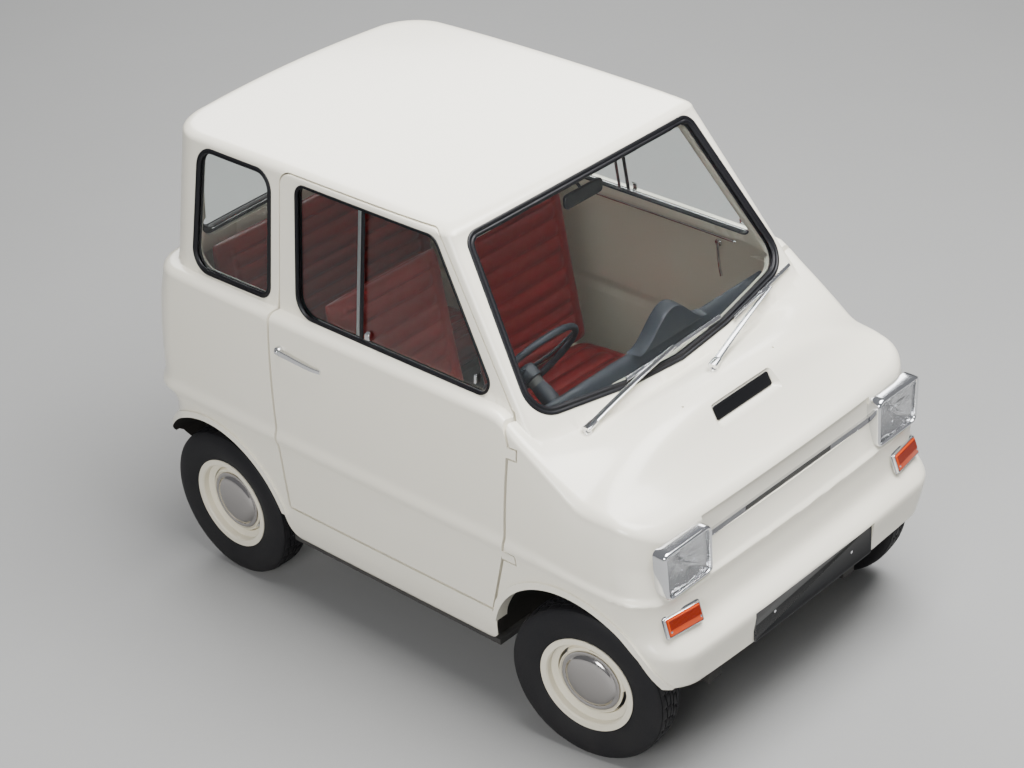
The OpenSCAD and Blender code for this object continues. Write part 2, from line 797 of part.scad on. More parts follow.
module front_seat() {
    base = sill_z + battery_h + seat_clear;
    hull() {
        for (x = [-1, 1])
            for (p = [[-150, base + 10, 10], [-150, base + cushion_t - 22, 22], [240, base + 10, 10], [240, base + 60, 20]])
                translate([x * (seat_w / 2 - 24), p[0], p[1]]) rotate([0, 90, 0]) cylinder(r = p[2], h = 8, center = true, $fn = 16);
        for (x = [-1, 1])
            for (p = [[-140, base + 12], [230, base + 12], [-140, base + 50], [230, base + 50]])
                translate([x * (seat_w / 2 - 12), p[0], p[1]]) sphere(r = 12, $fn = 12);
    }
    hull()
        for (x = [-1, 1])
            for (p = [[190, base + 70, 34], [262, base + 60, 20], [322, seat_top - 26, 26], [296, seat_top - 60, 26]])
                translate([x * (seat_w / 2 - 24), p[0], p[1]]) rotate([0, 90, 0]) cylinder(r = p[2], h = 30, center = true, $fn = 16);
}
seat_top = 1012;
module front_seats() {
    color(oxblood)
        for (side = [-1, 1])
            translate([side * seat_x, 0, 0]) front_seat();
}
module rear_seat() {
    half = rear_tub_x - tub_wall - 4;
    color(oxblood) {
        translate([-half, deck_y + 4, deck_z]) cube([2 * half, 300, 90]);
        hull()
            for (x = [-1, 1])
                for (p = [[786, deck_z + 20, 18], [826, deck_z + 20, 18], [838, 984, 18], [856, 984, 18]])
                    translate([x * (half - 12), p[0], p[1]]) rotate([0, 90, 0]) cylinder(r = p[2], h = 24, center = true, $fn = 16);
    }
}
module dash() {
    color(dark)
        across(-498, 498)
            polygon([[-557, 846], [-557, 873], [-484, 873], [-470, 902], [-456, 924], [-444, 931],
                [-434, 926], [-430, 914], [-430, 846], [-442, 832], [-470, 828], [-520, 836]]);
}
pod_x = 70;
pod_w = 150;
pod_h = 92;
module instrument_pod() {
    color(dark)
        translate([pod_x, -433, 931 + seat_clear])
            rotate([90, 0, 0])
                linear_extrude(46, scale = [0.9, 0.94])
                    polygon([for (i = [-12 : 12]) [pod_w * i / 12, pod_h * (1 + cos(15 * i)) / 2]]);
}
wheel_c = [-262, -232, 892];
column_rake = 35;
module on_column() {
    translate(wheel_c)
        rotate([-(90 - column_rake), 0, 0])
            children();
}
steer_wheel_r = 185;
module steering_wheel() {
    color(dark)
        on_column() {
            rotate_extrude($fn = 64) translate([steer_wheel_r - 10, 0]) circle(10, $fn = 24);
            for (a = [0, 120, 240])
                rotate([0, 0, 90 + a]) translate([20, -11, -4]) cube([steer_wheel_r - 34, 22, 7]);
            difference() {
                translate([0, 0, -34]) cylinder(r = 30, h = 40);
                translate([0, 0, -35]) cylinder(r = 12 + run_clear, h = 25);
            }
        }
}
module steering_column() {
    color(dark)
        on_column() {
            translate([0, 0, -384]) cylinder(r = 12, h = 372);
            translate([0, 0, -330]) cylinder(r = 22, h = 294);
        }
}
module cabin_mirror() {
    color(dark) {
        translate([-76, -241, 1296]) cube([152, 12, 44]);
        hull() {
            translate([-7, -234, 1312]) cube([14, 6, 12]);
            translate([-7, -190, 1376]) cube([14, 9, 10]);
        }
    }
}
wiper_pivots = [[-409, -587], [-8, -679]];
wiper_arms = [[-18, -523], [406, -530]];
wiper_blades = [[[-211, -531], [186, -524]], [[230, -549], [525, -507]]];
function bow_at(x) = screen_bow * (1 - pow(x / 500, 2));
module wipers() {
    color(chrome)
        for (i = [0, 1]) {
            foot = [wiper_pivots[i][0], wiper_pivots[i][1], body_top(wiper_pivots[i][0], wiper_pivots[i][1])];
            translate(foot + [0, 0, -4 + seat_clear]) cylinder(r = 12, h = 26);
            hull() {
                translate(foot + [0, 0, 14]) cylinder(r = 9, h = 8, $fn = 16);
                on_screen()
                    translate([wiper_arms[i][0], wiper_arms[i][1], bow_at(wiper_arms[i][0]) + 12]) box(9, 9, 6);
            }
            hull()
                on_screen()
                    for (b = wiper_blades[i])
                        translate([b[0], b[1], bow_at(b[0]) + 6]) box(6, 7, 9);
        }
}

// Running gear
module at_kingpin(left) {
    translate([(left ? 1 : -1) * kingpin_x, -front_axle, tyre_r])
        rotate([0, 0, steer_rest])
            mirror([left ? 0 : 1, 0, 0])
                children();
}
module at_hub(front, left) {
    if (front) at_kingpin(left) translate([track / 2 - kingpin_x, 0, 0]) children();
    else translate([(left ? 1 : -1) * track / 2, rear_axle, tyre_r]) mirror([left ? 0 : 1, 0, 0]) children();
}
kingpin_r = 9;
eye_r = 19;
eye_h = 20;
arm_z = 48;
hub_face = 20;
hub_l = 44;
tow_r = 9;
tow_t = 12;
tow_z = 100;
module tow_eye() {
    translate([0, -front_axle + tow_t / 2, tow_z])
        rotate([90, 0, 0])
            difference() {
                union() {
                    cylinder(r = 2 * tow_r, h = tow_t);
                    translate([-2 * tow_r, 0, 0]) cube([4 * tow_r, 60, tow_t]);
                }
                translate([0, 0, -1]) cylinder(r = tow_r, h = tow_t + 2);
            }
}
module front_crossmember() {
    color(steel) {
        tow_eye();
        translate([-rail_x - 40, -front_axle - 30, sill_z - floor_t - rail_h - 40]) cube([2 * rail_x + 80, 60, 40 - seat_clear]);
        for (side = [-1, 1])
            for (up = [-1, 1])
                translate([0, -front_axle, tyre_r + up * arm_z])
                    difference() {
                        union() {
                            translate([side * kingpin_x, 0, -eye_h / 2]) cylinder(r = eye_r, h = eye_h);
                            translate([min(side * 340, side * kingpin_x), -12, -7]) cube([kingpin_x - 340, 24, 14]);
                        }
                        translate([side * kingpin_x, 0, -eye_h]) cylinder(r = kingpin_r + run_clear, h = 2 * eye_h);
                    }
        for (side = [-1, 1])
            translate([side * 345 - 10, -front_axle - 30, sill_z - floor_t - rail_h - 40]) cube([20, 60, 160]);
    }
}
module knuckle(left) {
    color(steel)
        at_kingpin(left) {
            translate([0, 0, -arm_z - eye_h / 2 - 4]) cylinder(r = kingpin_r, h = 2 * arm_z + eye_h + 8);
            translate([0, 0, -arm_z + eye_h / 2 + 1]) cylinder(r = 18, h = 2 * arm_z - eye_h - 2);
            rotate([0, 90, 0]) cylinder(r = stub_r, h = track / 2 - kingpin_x + hub_face - 3);
            rotate([0, 90, 0]) cylinder(r = 26, h = track / 2 - kingpin_x + hub_face - hub_l - 1);
        }
}
module rear_arms() {
    color(steel)
        for (side = [-1, 1]) {
            translate([side * (rail_x + rail_w / 2 + 22), 0, 0]) {
                translate([-20, deck_y + 40, 180]) cube([40, rear_axle - deck_y - 40, 50]);
                translate([-20, rear_axle, tyre_r]) rotate([0, 90, 0]) cylinder(r = 40, h = 40);
            }
            translate([side * (rail_x + rail_w / 2), deck_y + 70, 205]) rotate([0, side * 90, 0]) cylinder(r = 16, h = 10);
            translate([0, rear_axle, tyre_r])
                rotate([0, side * 90, 0]) {
                    translate([0, 0, rail_x + 60]) cylinder(r = stub_r, h = track / 2 + hub_face - 3 - rail_x - 60);
                    translate([0, 0, rail_x + 60]) cylinder(r = 26, h = track / 2 + hub_face - hub_l - 1 - rail_x - 60);
                }
        }
}
module motors() {
    color(steel)
        for (side = [-1, 1])
            translate([side * 60, 620, 270]) rotate([0, side * 90, 0]) cylinder(r = 90, h = rail_x - rail_w / 2 - 60 - seat_clear);
}

// Tyre and rim sections, as radius against distance out from the wheel's middle plane
module revolve_x() {
    rotate([0, 90, 0]) rotate_extrude($fn = 64) children();
}
bead_r = 127;
bead_x = rim_w / 2 - 5;
module tyre_section() {
    difference() {
        hull() {
            for (s = [-1, 1]) {
                translate([tyre_r - 16, s * (tyre_w / 2 - 22)]) circle(16, $fn = 24);
                translate([186, s * (tyre_w / 2 - 26)]) circle(26, $fn = 24);
                translate([bead_r + 4 + seat_clear, s * (bead_x - 10)]) circle(4, $fn = 16);
            }
        }
        hull() {
            for (s = [-1, 1]) {
                translate([tyre_r - 28, s * (tyre_w / 2 - 34)]) circle(12, $fn = 16);
                translate([184, s * (tyre_w / 2 - 34)]) circle(22, $fn = 16);
                translate([bead_r - 8, s * (bead_x - 22)]) square([8, 8]);
            }
        }
        translate([0, -100]) square([bead_r, 200]);
    }
}
module tyre(front, left) {
    color(rubber) at_hub(front, left) revolve_x() tyre_section();
}
rim_t = 3;
module rim_section() {
    e = rim_w / 2;
    w = bead_r - rim_t;
    polygon([[rim_r, e], [rim_r, e - rim_t], [bead_r + 3, bead_x], [bead_r, bead_x - 4], [bead_r, 22],
        [110, 14], [110, -10], [bead_r, -18], [bead_r, -bead_x + 4], [bead_r + 3, -bead_x],
        [rim_r, -e + rim_t], [rim_r, -e], [w + 3, -e], [w, -bead_x], [w, -20], [107, -12], [107, 0],
        [99, 17], [93, hub_face - 4], [34, hub_face - 6], [34, hub_face - hub_l],
        [stub_r + run_clear, hub_face - hub_l], [stub_r + run_clear, hub_face], [94, hub_face],
        [96, 24], [101, 22], [107, 7], [107, 16], [w, 24], [w, bead_x], [w + 3, e]]);
}
slots = 4;
slot_angle = 46;
module wheel(front, left) {
    color(cream)
        at_hub(front, left)
            difference() {
                revolve_x() rim_section();
                for (i = [0 : slots - 1])
                    rotate([i * 360 / slots, 0, 0])
                        rotate([0, 90, 0])
                            rotate_extrude(angle = slot_angle, $fn = 64)
                                translate([98.5, -10]) square([7.5, 50]);
            }
}
cap_r = 92;
module hubcap(front, left) {
    color(chrome)
        at_hub(front, left)
            rotate([0, 90, 0])
                translate([0, 0, hub_face + seat_clear])
                    rotate_extrude($fn = 64)
                        hull() {
                            square([cap_r, 4]);
                            translate([0, 3]) square([cap_r - 9, 6]);
                            translate([0, 3]) square([64, 11]);
                            translate([0, 3]) square([40, 15]);
                        }
}

body_shell();
platform();
windscreen();
rear_windows();
window_seals();
lamp_bezels();
headlamp_lenses();
indicator_lenses();
tail_lamps();
nose_strip();
bonnet_plate();
number_plates();
wipers();
dash();
instrument_pod();
steering_column();
steering_wheel();
cabin_mirror();
front_seats();
rear_seat();
front_crossmember();
rear_arms();
motors();
batteries();
knuckle(true);  // knuckle_left
knuckle(false);  // knuckle_right
door(true);  // door_left
door(false);  // door_right
door_glass(true);  // door_glass_left
door_glass(false);  // door_glass_right
door_seal(true);  // door_seal_left
door_seal(false);  // door_seal_right
door_fittings(true);  // door_fittings_left
door_fittings(false);  // door_fittings_right
tyre(true, true);  // tyre_front_left
tyre(true, false);  // tyre_front_right
tyre(false, true);  // tyre_rear_left
tyre(false, false);  // tyre_rear_right
wheel(true, true);  // wheel_front_left
wheel(true, false);  // wheel_front_right
wheel(false, true);  // wheel_rear_left
wheel(false, false);  // wheel_rear_right
hubcap(true, true);  // hubcap_front_left
hubcap(true, false);  // hubcap_front_right
hubcap(false, true);  // hubcap_rear_left
hubcap(false, false);  // hubcap_rear_right
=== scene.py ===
# %% [markdown]
# # A small electric microcar, dressed
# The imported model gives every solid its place. This file gives the car its looks: a smooth moulded body,
# rubber seals, bright metal, pleated seats, ribbed lamps and tyres with a tread. All lengths that come from
# drawings are in millimetres here, and are turned into metres where a mesh is made.

# %% Load the frame
import bpy
import bmesh
import math
from mathutils import Vector, Matrix
from mathutils.bvhtree import BVHTree


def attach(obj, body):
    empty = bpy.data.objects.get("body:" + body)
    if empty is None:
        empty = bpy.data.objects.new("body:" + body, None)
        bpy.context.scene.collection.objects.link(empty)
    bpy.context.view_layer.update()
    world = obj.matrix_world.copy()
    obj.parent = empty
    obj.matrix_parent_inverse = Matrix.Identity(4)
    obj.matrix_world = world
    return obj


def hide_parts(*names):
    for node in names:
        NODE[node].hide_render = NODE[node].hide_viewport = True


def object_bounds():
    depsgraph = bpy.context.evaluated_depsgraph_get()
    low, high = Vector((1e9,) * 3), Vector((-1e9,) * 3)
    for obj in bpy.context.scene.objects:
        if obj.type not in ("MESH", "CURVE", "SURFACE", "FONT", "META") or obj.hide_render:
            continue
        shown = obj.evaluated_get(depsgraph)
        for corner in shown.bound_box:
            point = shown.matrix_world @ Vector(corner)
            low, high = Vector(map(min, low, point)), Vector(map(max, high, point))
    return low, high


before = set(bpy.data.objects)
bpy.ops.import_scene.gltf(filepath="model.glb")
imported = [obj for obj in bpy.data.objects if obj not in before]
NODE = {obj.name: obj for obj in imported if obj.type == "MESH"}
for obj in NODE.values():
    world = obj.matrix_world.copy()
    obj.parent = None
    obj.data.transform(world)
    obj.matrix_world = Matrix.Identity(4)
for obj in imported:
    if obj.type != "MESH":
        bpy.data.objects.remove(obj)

CAD_BOX = [list(corner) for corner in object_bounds()]
MM = 0.001
print("nodes in the frame:", len(NODE))

# %% [markdown]
# ## Camera
# The camera stands where the photographer stood, above the right front corner, with a long lens. It comes
# first, so that every later step can be looked at from the same place. Its place, its three angles and its
# lens were fitted to points whose places on the car are known. The floor and the lights come last.

# %% Camera
CAMERA_AT = (-4.3037, -4.2002, 4.2641)
CAMERA_ANGLES = (45.148, 31.067, -4.124)
SENSOR_W, PICTURE_W, FOCAL_PIXELS = 36, 1024, 2445.77

def stand_camera():
    yaw, pitch, roll = (math.radians(angle) for angle in CAMERA_ANGLES)
    look = Vector((math.sin(yaw) * math.cos(pitch), math.cos(yaw) * math.cos(pitch), -math.sin(pitch)))
    right = Vector((math.cos(yaw), -math.sin(yaw), 0))
    up = right.cross(look)
    level_right = math.cos(roll) * right + math.sin(roll) * up
    level_up = -math.sin(roll) * right + math.cos(roll) * up
    turn = Matrix((level_right, level_up, -look)).transposed().to_4x4()
    lens = bpy.data.cameras.new("camera")
    lens.sensor_width = SENSOR_W
    lens.lens = FOCAL_PIXELS / PICTURE_W * SENSOR_W
    lens.clip_end = 100
    camera = bpy.data.objects.new("camera", lens)
    camera.matrix_world = Matrix.Translation(CAMERA_AT) @ turn
    bpy.context.scene.collection.objects.link(camera)
    bpy.context.scene.camera = camera
    return camera

camera = stand_camera()
print("camera at", [round(v, 2) for v in camera.location])

# %% [markdown]
# ## Building blocks for the meshes
# Most pieces are made from lists of points. These helpers turn such lists into closed skins, prisms,
# swept strips and lathed rings, so that the later cells only hold the shapes themselves. Nearly all of them
# are rings of equal length with a band of quads between each ring and the next.

# %% Points and faces
def mesh_object(name, points, faces, scale=MM):
    mesh = bpy.data.meshes.new(name)
    mesh.from_pydata([[c * scale for c in p] for p in points], [], faces)
    mesh.validate()
    obj = bpy.data.objects.new(name, mesh)
    bpy.context.scene.collection.objects.link(obj)
    return obj

def band_faces(count, n, closed=True, round_section=True):
    """Quads between rings of n points each; closed joins the last ring to the first."""
    faces = []
    for k in range(count if closed else count - 1):
        here, there = k * n, (k + 1) % count * n
        for i in range(n if round_section else n - 1):
            j = (i + 1) % n
            faces.append((here + i, here + j, there + j, there + i))
    return faces

def closed_skin(name, rings):
    """Rings of equal length, the first point on the front middle line, capped across the middle plane."""
    n = len(rings[0])
    points = [p for ring in rings for p in ring]
    faces = band_faces(len(rings), n, False)
    top = (len(rings) - 1) * n
    for i in range(n // 2):
        a, b, c, d = i, i + 1, (n - i) % n, n - i - 1
        low = [a, c, d, b]
        faces.append([v for j, v in enumerate(low) if v not in low[:j]])
        high = [top + a, top + b, top + d, top + c]
        faces.append([v for j, v in enumerate(high) if v not in high[:j]])
    return mesh_object(name, points, faces)

def hull_outline(circles, grow=0, steps=40):
    """The outline round a set of circles [u, v, radius], counter-clockwise."""
    points = sorted({(round(u + (r + grow) * math.cos(2 * math.pi * i / steps), 5),
                      round(v + (r + grow) * math.sin(2 * math.pi * i / steps), 5))
                     for u, v, r in circles for i in range(steps)})
    def half(order):
        chain = []
        for p in order:
            while len(chain) > 1 and ((chain[-1][0] - chain[-2][0]) * (p[1] - chain[-2][1])
                                      - (chain[-1][1] - chain[-2][1]) * (p[0] - chain[-2][0])) <= 1e-9:
                chain.pop()
            chain.append(p)
        return chain[:-1]
    return half(points) + half(points[::-1])

def prism(name, outline, place, a, b):
    """A closed prism over an outline; place(u, v, w) gives the point in millimetres."""
    n = len(outline)
    points = [place(u, v, a) for u, v in outline] + [place(u, v, b) for u, v in outline]
    faces = [tuple(range(n)), tuple(range(2 * n - 1, n - 1, -1))]
    faces += [(i, i + n, (i + 1) % n + n, (i + 1) % n) for i in range(n)]
    obj = mesh_object(name, points, faces)
    outward(obj)
    return obj

# %% Solids
def outward(obj):
    """All faces turned to look out of the solid."""
    work = bmesh.new()
    work.from_mesh(obj.data)
    bmesh.ops.recalc_face_normals(work, faces=work.faces)
    if work.calc_volume(signed=True) < 0:
        bmesh.ops.reverse_faces(work, faces=work.faces)
    work.to_mesh(obj.data)
    work.free()
    return obj

def combine(obj, others, how):
    """Joins, cuts or intersects solids, and keeps the result as a plain mesh."""
    for other in others:
        step = obj.modifiers.new("solid", "BOOLEAN")
        step.operation = how
        step.solver = "MANIFOLD"
        step.object = other
        done = bpy.data.meshes.new_from_object(obj.evaluated_get(bpy.context.evaluated_depsgraph_get()))
        obj.modifiers.clear()
        old = obj.data
        obj.data = done
        bpy.data.meshes.remove(old)
        bpy.data.objects.remove(other)
    return obj

def copy_of(obj):
    twin = obj.copy()
    twin.data = obj.data.copy()
    bpy.context.scene.collection.objects.link(twin)
    return twin

def mirrored(obj):
    twin = copy_of(obj)
    twin.data.transform(Matrix.Diagonal((-1, 1, 1, 1)))
    twin.data.flip_normals()
    return twin

# %% Strips, rings and blocks
def ring_strip(name, rings, closed=True):
    """A skin between rings of equal length in millimetres, joined round or capped at both ends."""
    n = len(rings[0])
    points = [p for ring in rings for p in ring]
    faces = band_faces(len(rings), n, closed)
    if not closed:
        faces += [tuple(range(n)), tuple(range(len(points) - 1, len(points) - 1 - n, -1))]
    return outward(mesh_object(name, points, faces))

def swept(name, section, path, closed=True):
    """A strip with the section [out, up] carried along a path of (point, out, up) frames."""
    rings = [[tuple(spot + out * s[0] + up * s[1]) for s in section] for spot, out, up in path]
    return ring_strip(name, rings, closed)

def rounded_block(name, w, h, levels, r=4, steps=16):
    """levels are [grow, height]; the outline is a rounded oblong."""
    corners = [[s * (w / 2 - r), t * (h / 2 - r), r] for s in (-1, 1) for t in (-1, 1)]
    rings = [[(u, v, z) for u, v in hull_outline(corners, grow, steps)] for grow, z in levels]
    return ring_strip(name, rings, False)

def lathed(name, section, steps=96, closed=True):
    """A ring from a section of [along the axle, radius], about the X axis."""
    points = []
    for k in range(steps):
        a = 2 * math.pi * k / steps
        points += [(x, r * math.cos(a), r * math.sin(a)) for x, r in section]
    obj = mesh_object(name, points, band_faces(steps, len(section), True, closed))
    work = bmesh.new()
    work.from_mesh(obj.data)
    bmesh.ops.remove_doubles(work, verts=work.verts, dist=1e-6)
    work.to_mesh(obj.data)
    work.free()
    return outward(obj)

# %% Shading, names and bodies
def shade(obj, angle=32):
    obj.data.shade_smooth()
    obj.data.set_sharp_from_angle(angle=math.radians(angle))
    return obj

def soften(obj, width, segments=2, angle=32):
    """Rounds the sharp edges and keeps the faces flat between them."""
    step = obj.modifiers.new("round", "BEVEL")
    step.width = width * MM
    step.segments = segments
    step.limit_method = "ANGLE"
    step.angle_limit = math.radians(angle)
    step.harden_normals = True
    shade(obj, 60)
    done = bpy.data.meshes.new_from_object(obj.evaluated_get(bpy.context.evaluated_depsgraph_get()))
    obj.modifiers.clear()
    obj.data = done
    return obj

def triangles(obj):
    return sum(len(p.vertices) - 2 for p in obj.data.polygons)

def finish_piece(obj, name, body, material, stands_for=()):
    """Names a piece and gives it its finish, its body and the frame's solids that it stands for."""
    obj.name = name
    obj.data.name = name
    obj.data.materials.clear()
    for each in material if isinstance(material, (list, tuple)) else [material]:
        obj.data.materials.append(each)
    if stands_for:
        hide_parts(*stands_for)
    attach(obj, body)
    print(f"{name}: {triangles(obj)} triangles")
    return obj

# %% [markdown]
# ## The body's shape
# The real body is a few large glass-fibre mouldings. Its surface is drawn by lines that run round the car,
# each with a height and a distance at the side, the nose and the tail. The same lines made the solids of
# the frame. Here a smooth curve runs through them, and the rings are much closer together.

# %% Lines of the body
HALF_L, HALF_W, BELT_Z, CREASE_Z, SILL_Z = 1016, 628, 1000, 606, 247
WALL, ROOF_WALL, DOOR_WALL = 36, 24, 24
SKIRT = [
    [SILL_Z, HALF_W - 43, 335, HALF_L - 14, 335, HALF_L - 10],
    [300, HALF_W - 30, 375, HALF_L - 9, 375, HALF_L - 4],
    [360, HALF_W - 23, 430, HALF_L, 420, HALF_L],
    [420, HALF_W - 19, 455, HALF_L - 12, 450, HALF_L - 12],
    [480, HALF_W - 15, 492, HALF_L - 50, 490, HALF_L - 42],
    [550, HALF_W - 11, 545, HALF_L - 62, 545, HALF_L - 52],
    [CREASE_Z - 18, HALF_W - 7, 577, HALF_L - 64, 582, HALF_L - 38]]
CREASE = [CREASE_Z, HALF_W, 593, HALF_L - 59, 600, HALF_L - 10]
UPPER = [[0, 0, 0, 0], [0.05, 2, 6, 4], [0.1, 8, 12, 10], [0.28, 9, 23, 13],
         [0.52, 12, 32, 19], [0.78, 18, 32, 30], [1, 26, 31, 46]]
NOSE_TAPER, TAIL_TAPER, NOSE_BOW, TAIL_BOW, NOSE_R, TAIL_R, EDGE_R = 14, 8, 12, 20, 110, 118, 26
MIDDLE_TOP = [[-930, 764], [-890, 782], [-850, 811], [-800, 860], [-757, 912], [-725, 930],
              [-680, 932], [-620, 918], [-575, 900], [-500, 920], [-400, 980], [-360, BELT_Z], [900, BELT_Z]]
FENDER_TOP = [[-930, 768], [-880, 794], [-848, 804], [-788, 814], [-715, 820], [-689, 832],
              [-647, 862], [-602, 893], [-550, 928], [-515, 950], [-470, 982], [-430, BELT_Z], [900, BELT_Z]]
CABIN_W, CABIN_LEAN, CABIN_BASE, CABIN_REAR, REAR_LEAN = 562, 8.6, 960, 945, 3.5
ROOF_EDGE, ROOF_R, FRONT_R, REAR_R, CABIN_BOW, SCREEN_BOW = 1384, 28, 26, 140, 16, 18
SCREEN_TOP_Y, SCREEN_TOP_Z, RAKE = 232, 1380, math.radians(34.3)

def mix(a, b, t):
    return a + (b - a) * t

def ease(t):
    t = max(0.0, min(1.0, t))
    return t * t * (3 - 2 * t)

def curve(points, x):
    x = max(points[0][0], min(points[-1][0], x))
    i = 0
    while i < len(points) - 2 and x >= points[i + 1][0]:
        i += 1
    def slope(k):
        low, high = max(0, k - 1), min(len(points) - 1, k + 1)
        return (points[high][1] - points[low][1]) / (points[high][0] - points[low][0])
    h = points[i + 1][0] - points[i][0]
    t = (x - points[i][0]) / h
    return (points[i][1] * (1 + 2 * t) * (1 - t) ** 2 + slope(i) * h * t * (1 - t) ** 2
            + points[i + 1][1] * t * t * (3 - 2 * t) + slope(i + 1) * h * t * t * (t - 1))

def smooth_row(rows, u, keep_between):
    """A row between the given ones, on a smooth curve through them, and kept between its neighbours or not."""
    i = min(int(u), len(rows) - 2)
    t = u - i
    before, after = rows[max(i - 1, 0)], rows[min(i + 2, len(rows) - 1)]
    out = []
    for p, a, b, q in zip(before, rows[i], rows[i + 1], after):
        m, n = (b - p) / 2, (q - a) / 2
        value = (a * (1 + 2 * t) * (1 - t) ** 2 + m * t * (1 - t) ** 2
                 + b * t * t * (3 - 2 * t) + n * t * t * (t - 1))
        out.append(min(max(value, min(a, b)), max(a, b)) if keep_between else value)
    return out

def through(rows, u):
    return smooth_row(rows, u, True)

# %% [markdown]
# ## Rings round the car
# A moulding like this is laid up on a plug that is checked with templates, one for each height. The rings
# are such templates: each line of the body gives one ring of points, and bands of quads between them make a
# closed skin. A ring can also be set inwards by the thickness of the wall, so the same lines give the inside
# of the shell. A plain set with few points is enough where the inside is never seen.

# %% Rings of the lower body
FINE = (22, 14, 46)
PLAIN = (3, 3, 7)

def half_outline(yf, yr, wf, wm, wr, rf, rr, bf, br, steps):
    nf, nc, ns = steps
    line = [[(wf - rf) * i / nf, yf + bf * (i / nf) ** 2] for i in range(nf)]
    for i in range(nc + 1):
        a = math.pi / 2 * i / nc
        line.append([wf - rf + rf * math.sin(a), yf + bf + rf - rf * math.cos(a)])
    for i in range(1, ns):
        t = i / ns
        s = 2 * t - 1
        line.append([mix(wf, wr, t) + (wm - (wf + wr) / 2) * (1 - s ** 4),
                     mix(yf + bf + rf, yr - br - rr, t ** 1.35)])
    for i in range(nc + 1):
        a = math.pi / 2 * i / nc
        line.append([wr - rr + rr * math.cos(a), yr - br - rr + rr * math.sin(a)])
    line += [[(wr - rr) * i / nf, yr - br * (i / nf) ** 2] for i in range(nf - 1, -1, -1)]
    return line

def whole(line):
    return line + [[-x, y] for x, y in line[-2:0:-1]]

def nose_share(y):
    return ease((-y - 560) / (HALF_L - 690))

def tail_share(y):
    return ease((y - 640) / (HALF_L - 770))

def line_z(row, y):
    return row[0] + (row[2] - row[0]) * nose_share(y) + (row[4] - row[0]) * tail_share(y)

def outline(yf, yr, w, t, steps):
    return whole(half_outline(-yf + t, yr - t, w - NOSE_TAPER - t, w - t, w - TAIL_TAPER - t,
                              max(8, NOSE_R - t), max(8, TAIL_R - t), NOSE_BOW, TAIL_BOW, steps))

def body_top(x, y):
    t = min(1, abs(x) / (HALF_W - 40))
    return mix(curve(MIDDLE_TOP, y), curve(FENDER_TOP, y), t ** 2.5)

def skirt_ring(row, t, steps):
    return [(x, y, line_z(row, y)) for x, y in outline(row[3], row[5], row[1], t, steps)]

def upper_ring(row, t, steps):
    ring = outline(CREASE[3] - row[2], CREASE[5] - row[3], CREASE[1] - row[1], t, steps)
    return [(x, y, mix(line_z(CREASE, y), curve(FENDER_TOP, y) - EDGE_R - t, row[0])) for x, y in ring]

def top_ring(inset, drop, t, steps):
    row = UPPER[-1]
    k = inset + t
    w = CREASE[1] - row[1] - k
    q = 1 - inset / 600
    ring = whole(half_outline(-CREASE[3] + row[2] + k, CREASE[5] - row[3] - k, w - NOSE_TAPER * q, w,
                              w - TAIL_TAPER * q, max(8, NOSE_R - k * 0.7), max(8, TAIL_R - k * 0.7),
                              NOSE_BOW, TAIL_BOW, steps))
    return [(x, y, body_top(x, y) - drop - t) for x, y in ring]

def spread(last, per):
    return [i / per for i in range(last * per)] + [last]

TOP_INSET = 555

def lower_rings(t=0, low=None, fine=True):
    """All rings of the lower body, from the sill over the rolled edge to the middle of the top."""
    steps = FINE if fine else PLAIN
    if fine:
        rows = [skirt_ring(through(SKIRT, u), t, steps) for u in spread(6, 5)]
        places = [0, 0.5, 1, 1.5, 2] + [2 + v for v in spread(4, 5)[1:]]
        rows += [upper_ring(through(UPPER, u), t, steps) for u in places]
        rolls = [math.pi / 2 * i / 9 for i in range(1, 9)]
        insets = [TOP_INSET * (i / 44) ** 1.35 for i in range(45)]
    else:
        rows = [skirt_ring(SKIRT[i], t, steps) for i in (0, 2, 4, 6)]
        rows += [upper_ring(UPPER[i], t, steps) for i in (0, 2, 4, 6)]
        rolls, insets = [math.radians(20), math.radians(70)], [34, 92, 155, 230, 360, TOP_INSET]
    rolled = [top_ring(EDGE_R * (1 - math.cos(a)), EDGE_R * (1 - math.sin(a)), t, steps) for a in rolls]
    flat = [top_ring(d + EDGE_R, 0, t, steps) for d in insets]
    foot = [[(x, y, low) for x, y, _ in rows[0]]] if low is not None else []
    return foot + rows + rolled + flat

# %% Rings of the cabin
def cabin_half(z):
    return CABIN_W - (z - CABIN_BASE) * math.tan(math.radians(CABIN_LEAN))

def screen_y(z):
    return -SCREEN_TOP_Y - (SCREEN_TOP_Z - z) * math.tan(RAKE)

def rear_y(z):
    return CABIN_REAR - (z - CABIN_BASE) * math.tan(math.radians(REAR_LEAN))

def roof_z(x, y):
    return 1422 - 10 * (x / 500) ** 2 - 12 * ((y - 330) / 600) ** 2

def cabin_ring(z, inset, t, steps):
    w = cabin_half(z) - inset - t
    bow = SCREEN_BOW / math.cos(RAKE)
    ring = whole(half_outline(screen_y(z) + inset + t / math.cos(RAKE) - bow, rear_y(z) - inset - t,
                              w - 6, w, w - 4, max(10, FRONT_R - t * 0.5), min(REAR_R - t, w * 0.6),
                              bow, CABIN_BOW, steps))
    return [(x, y, z) for x, y in ring]

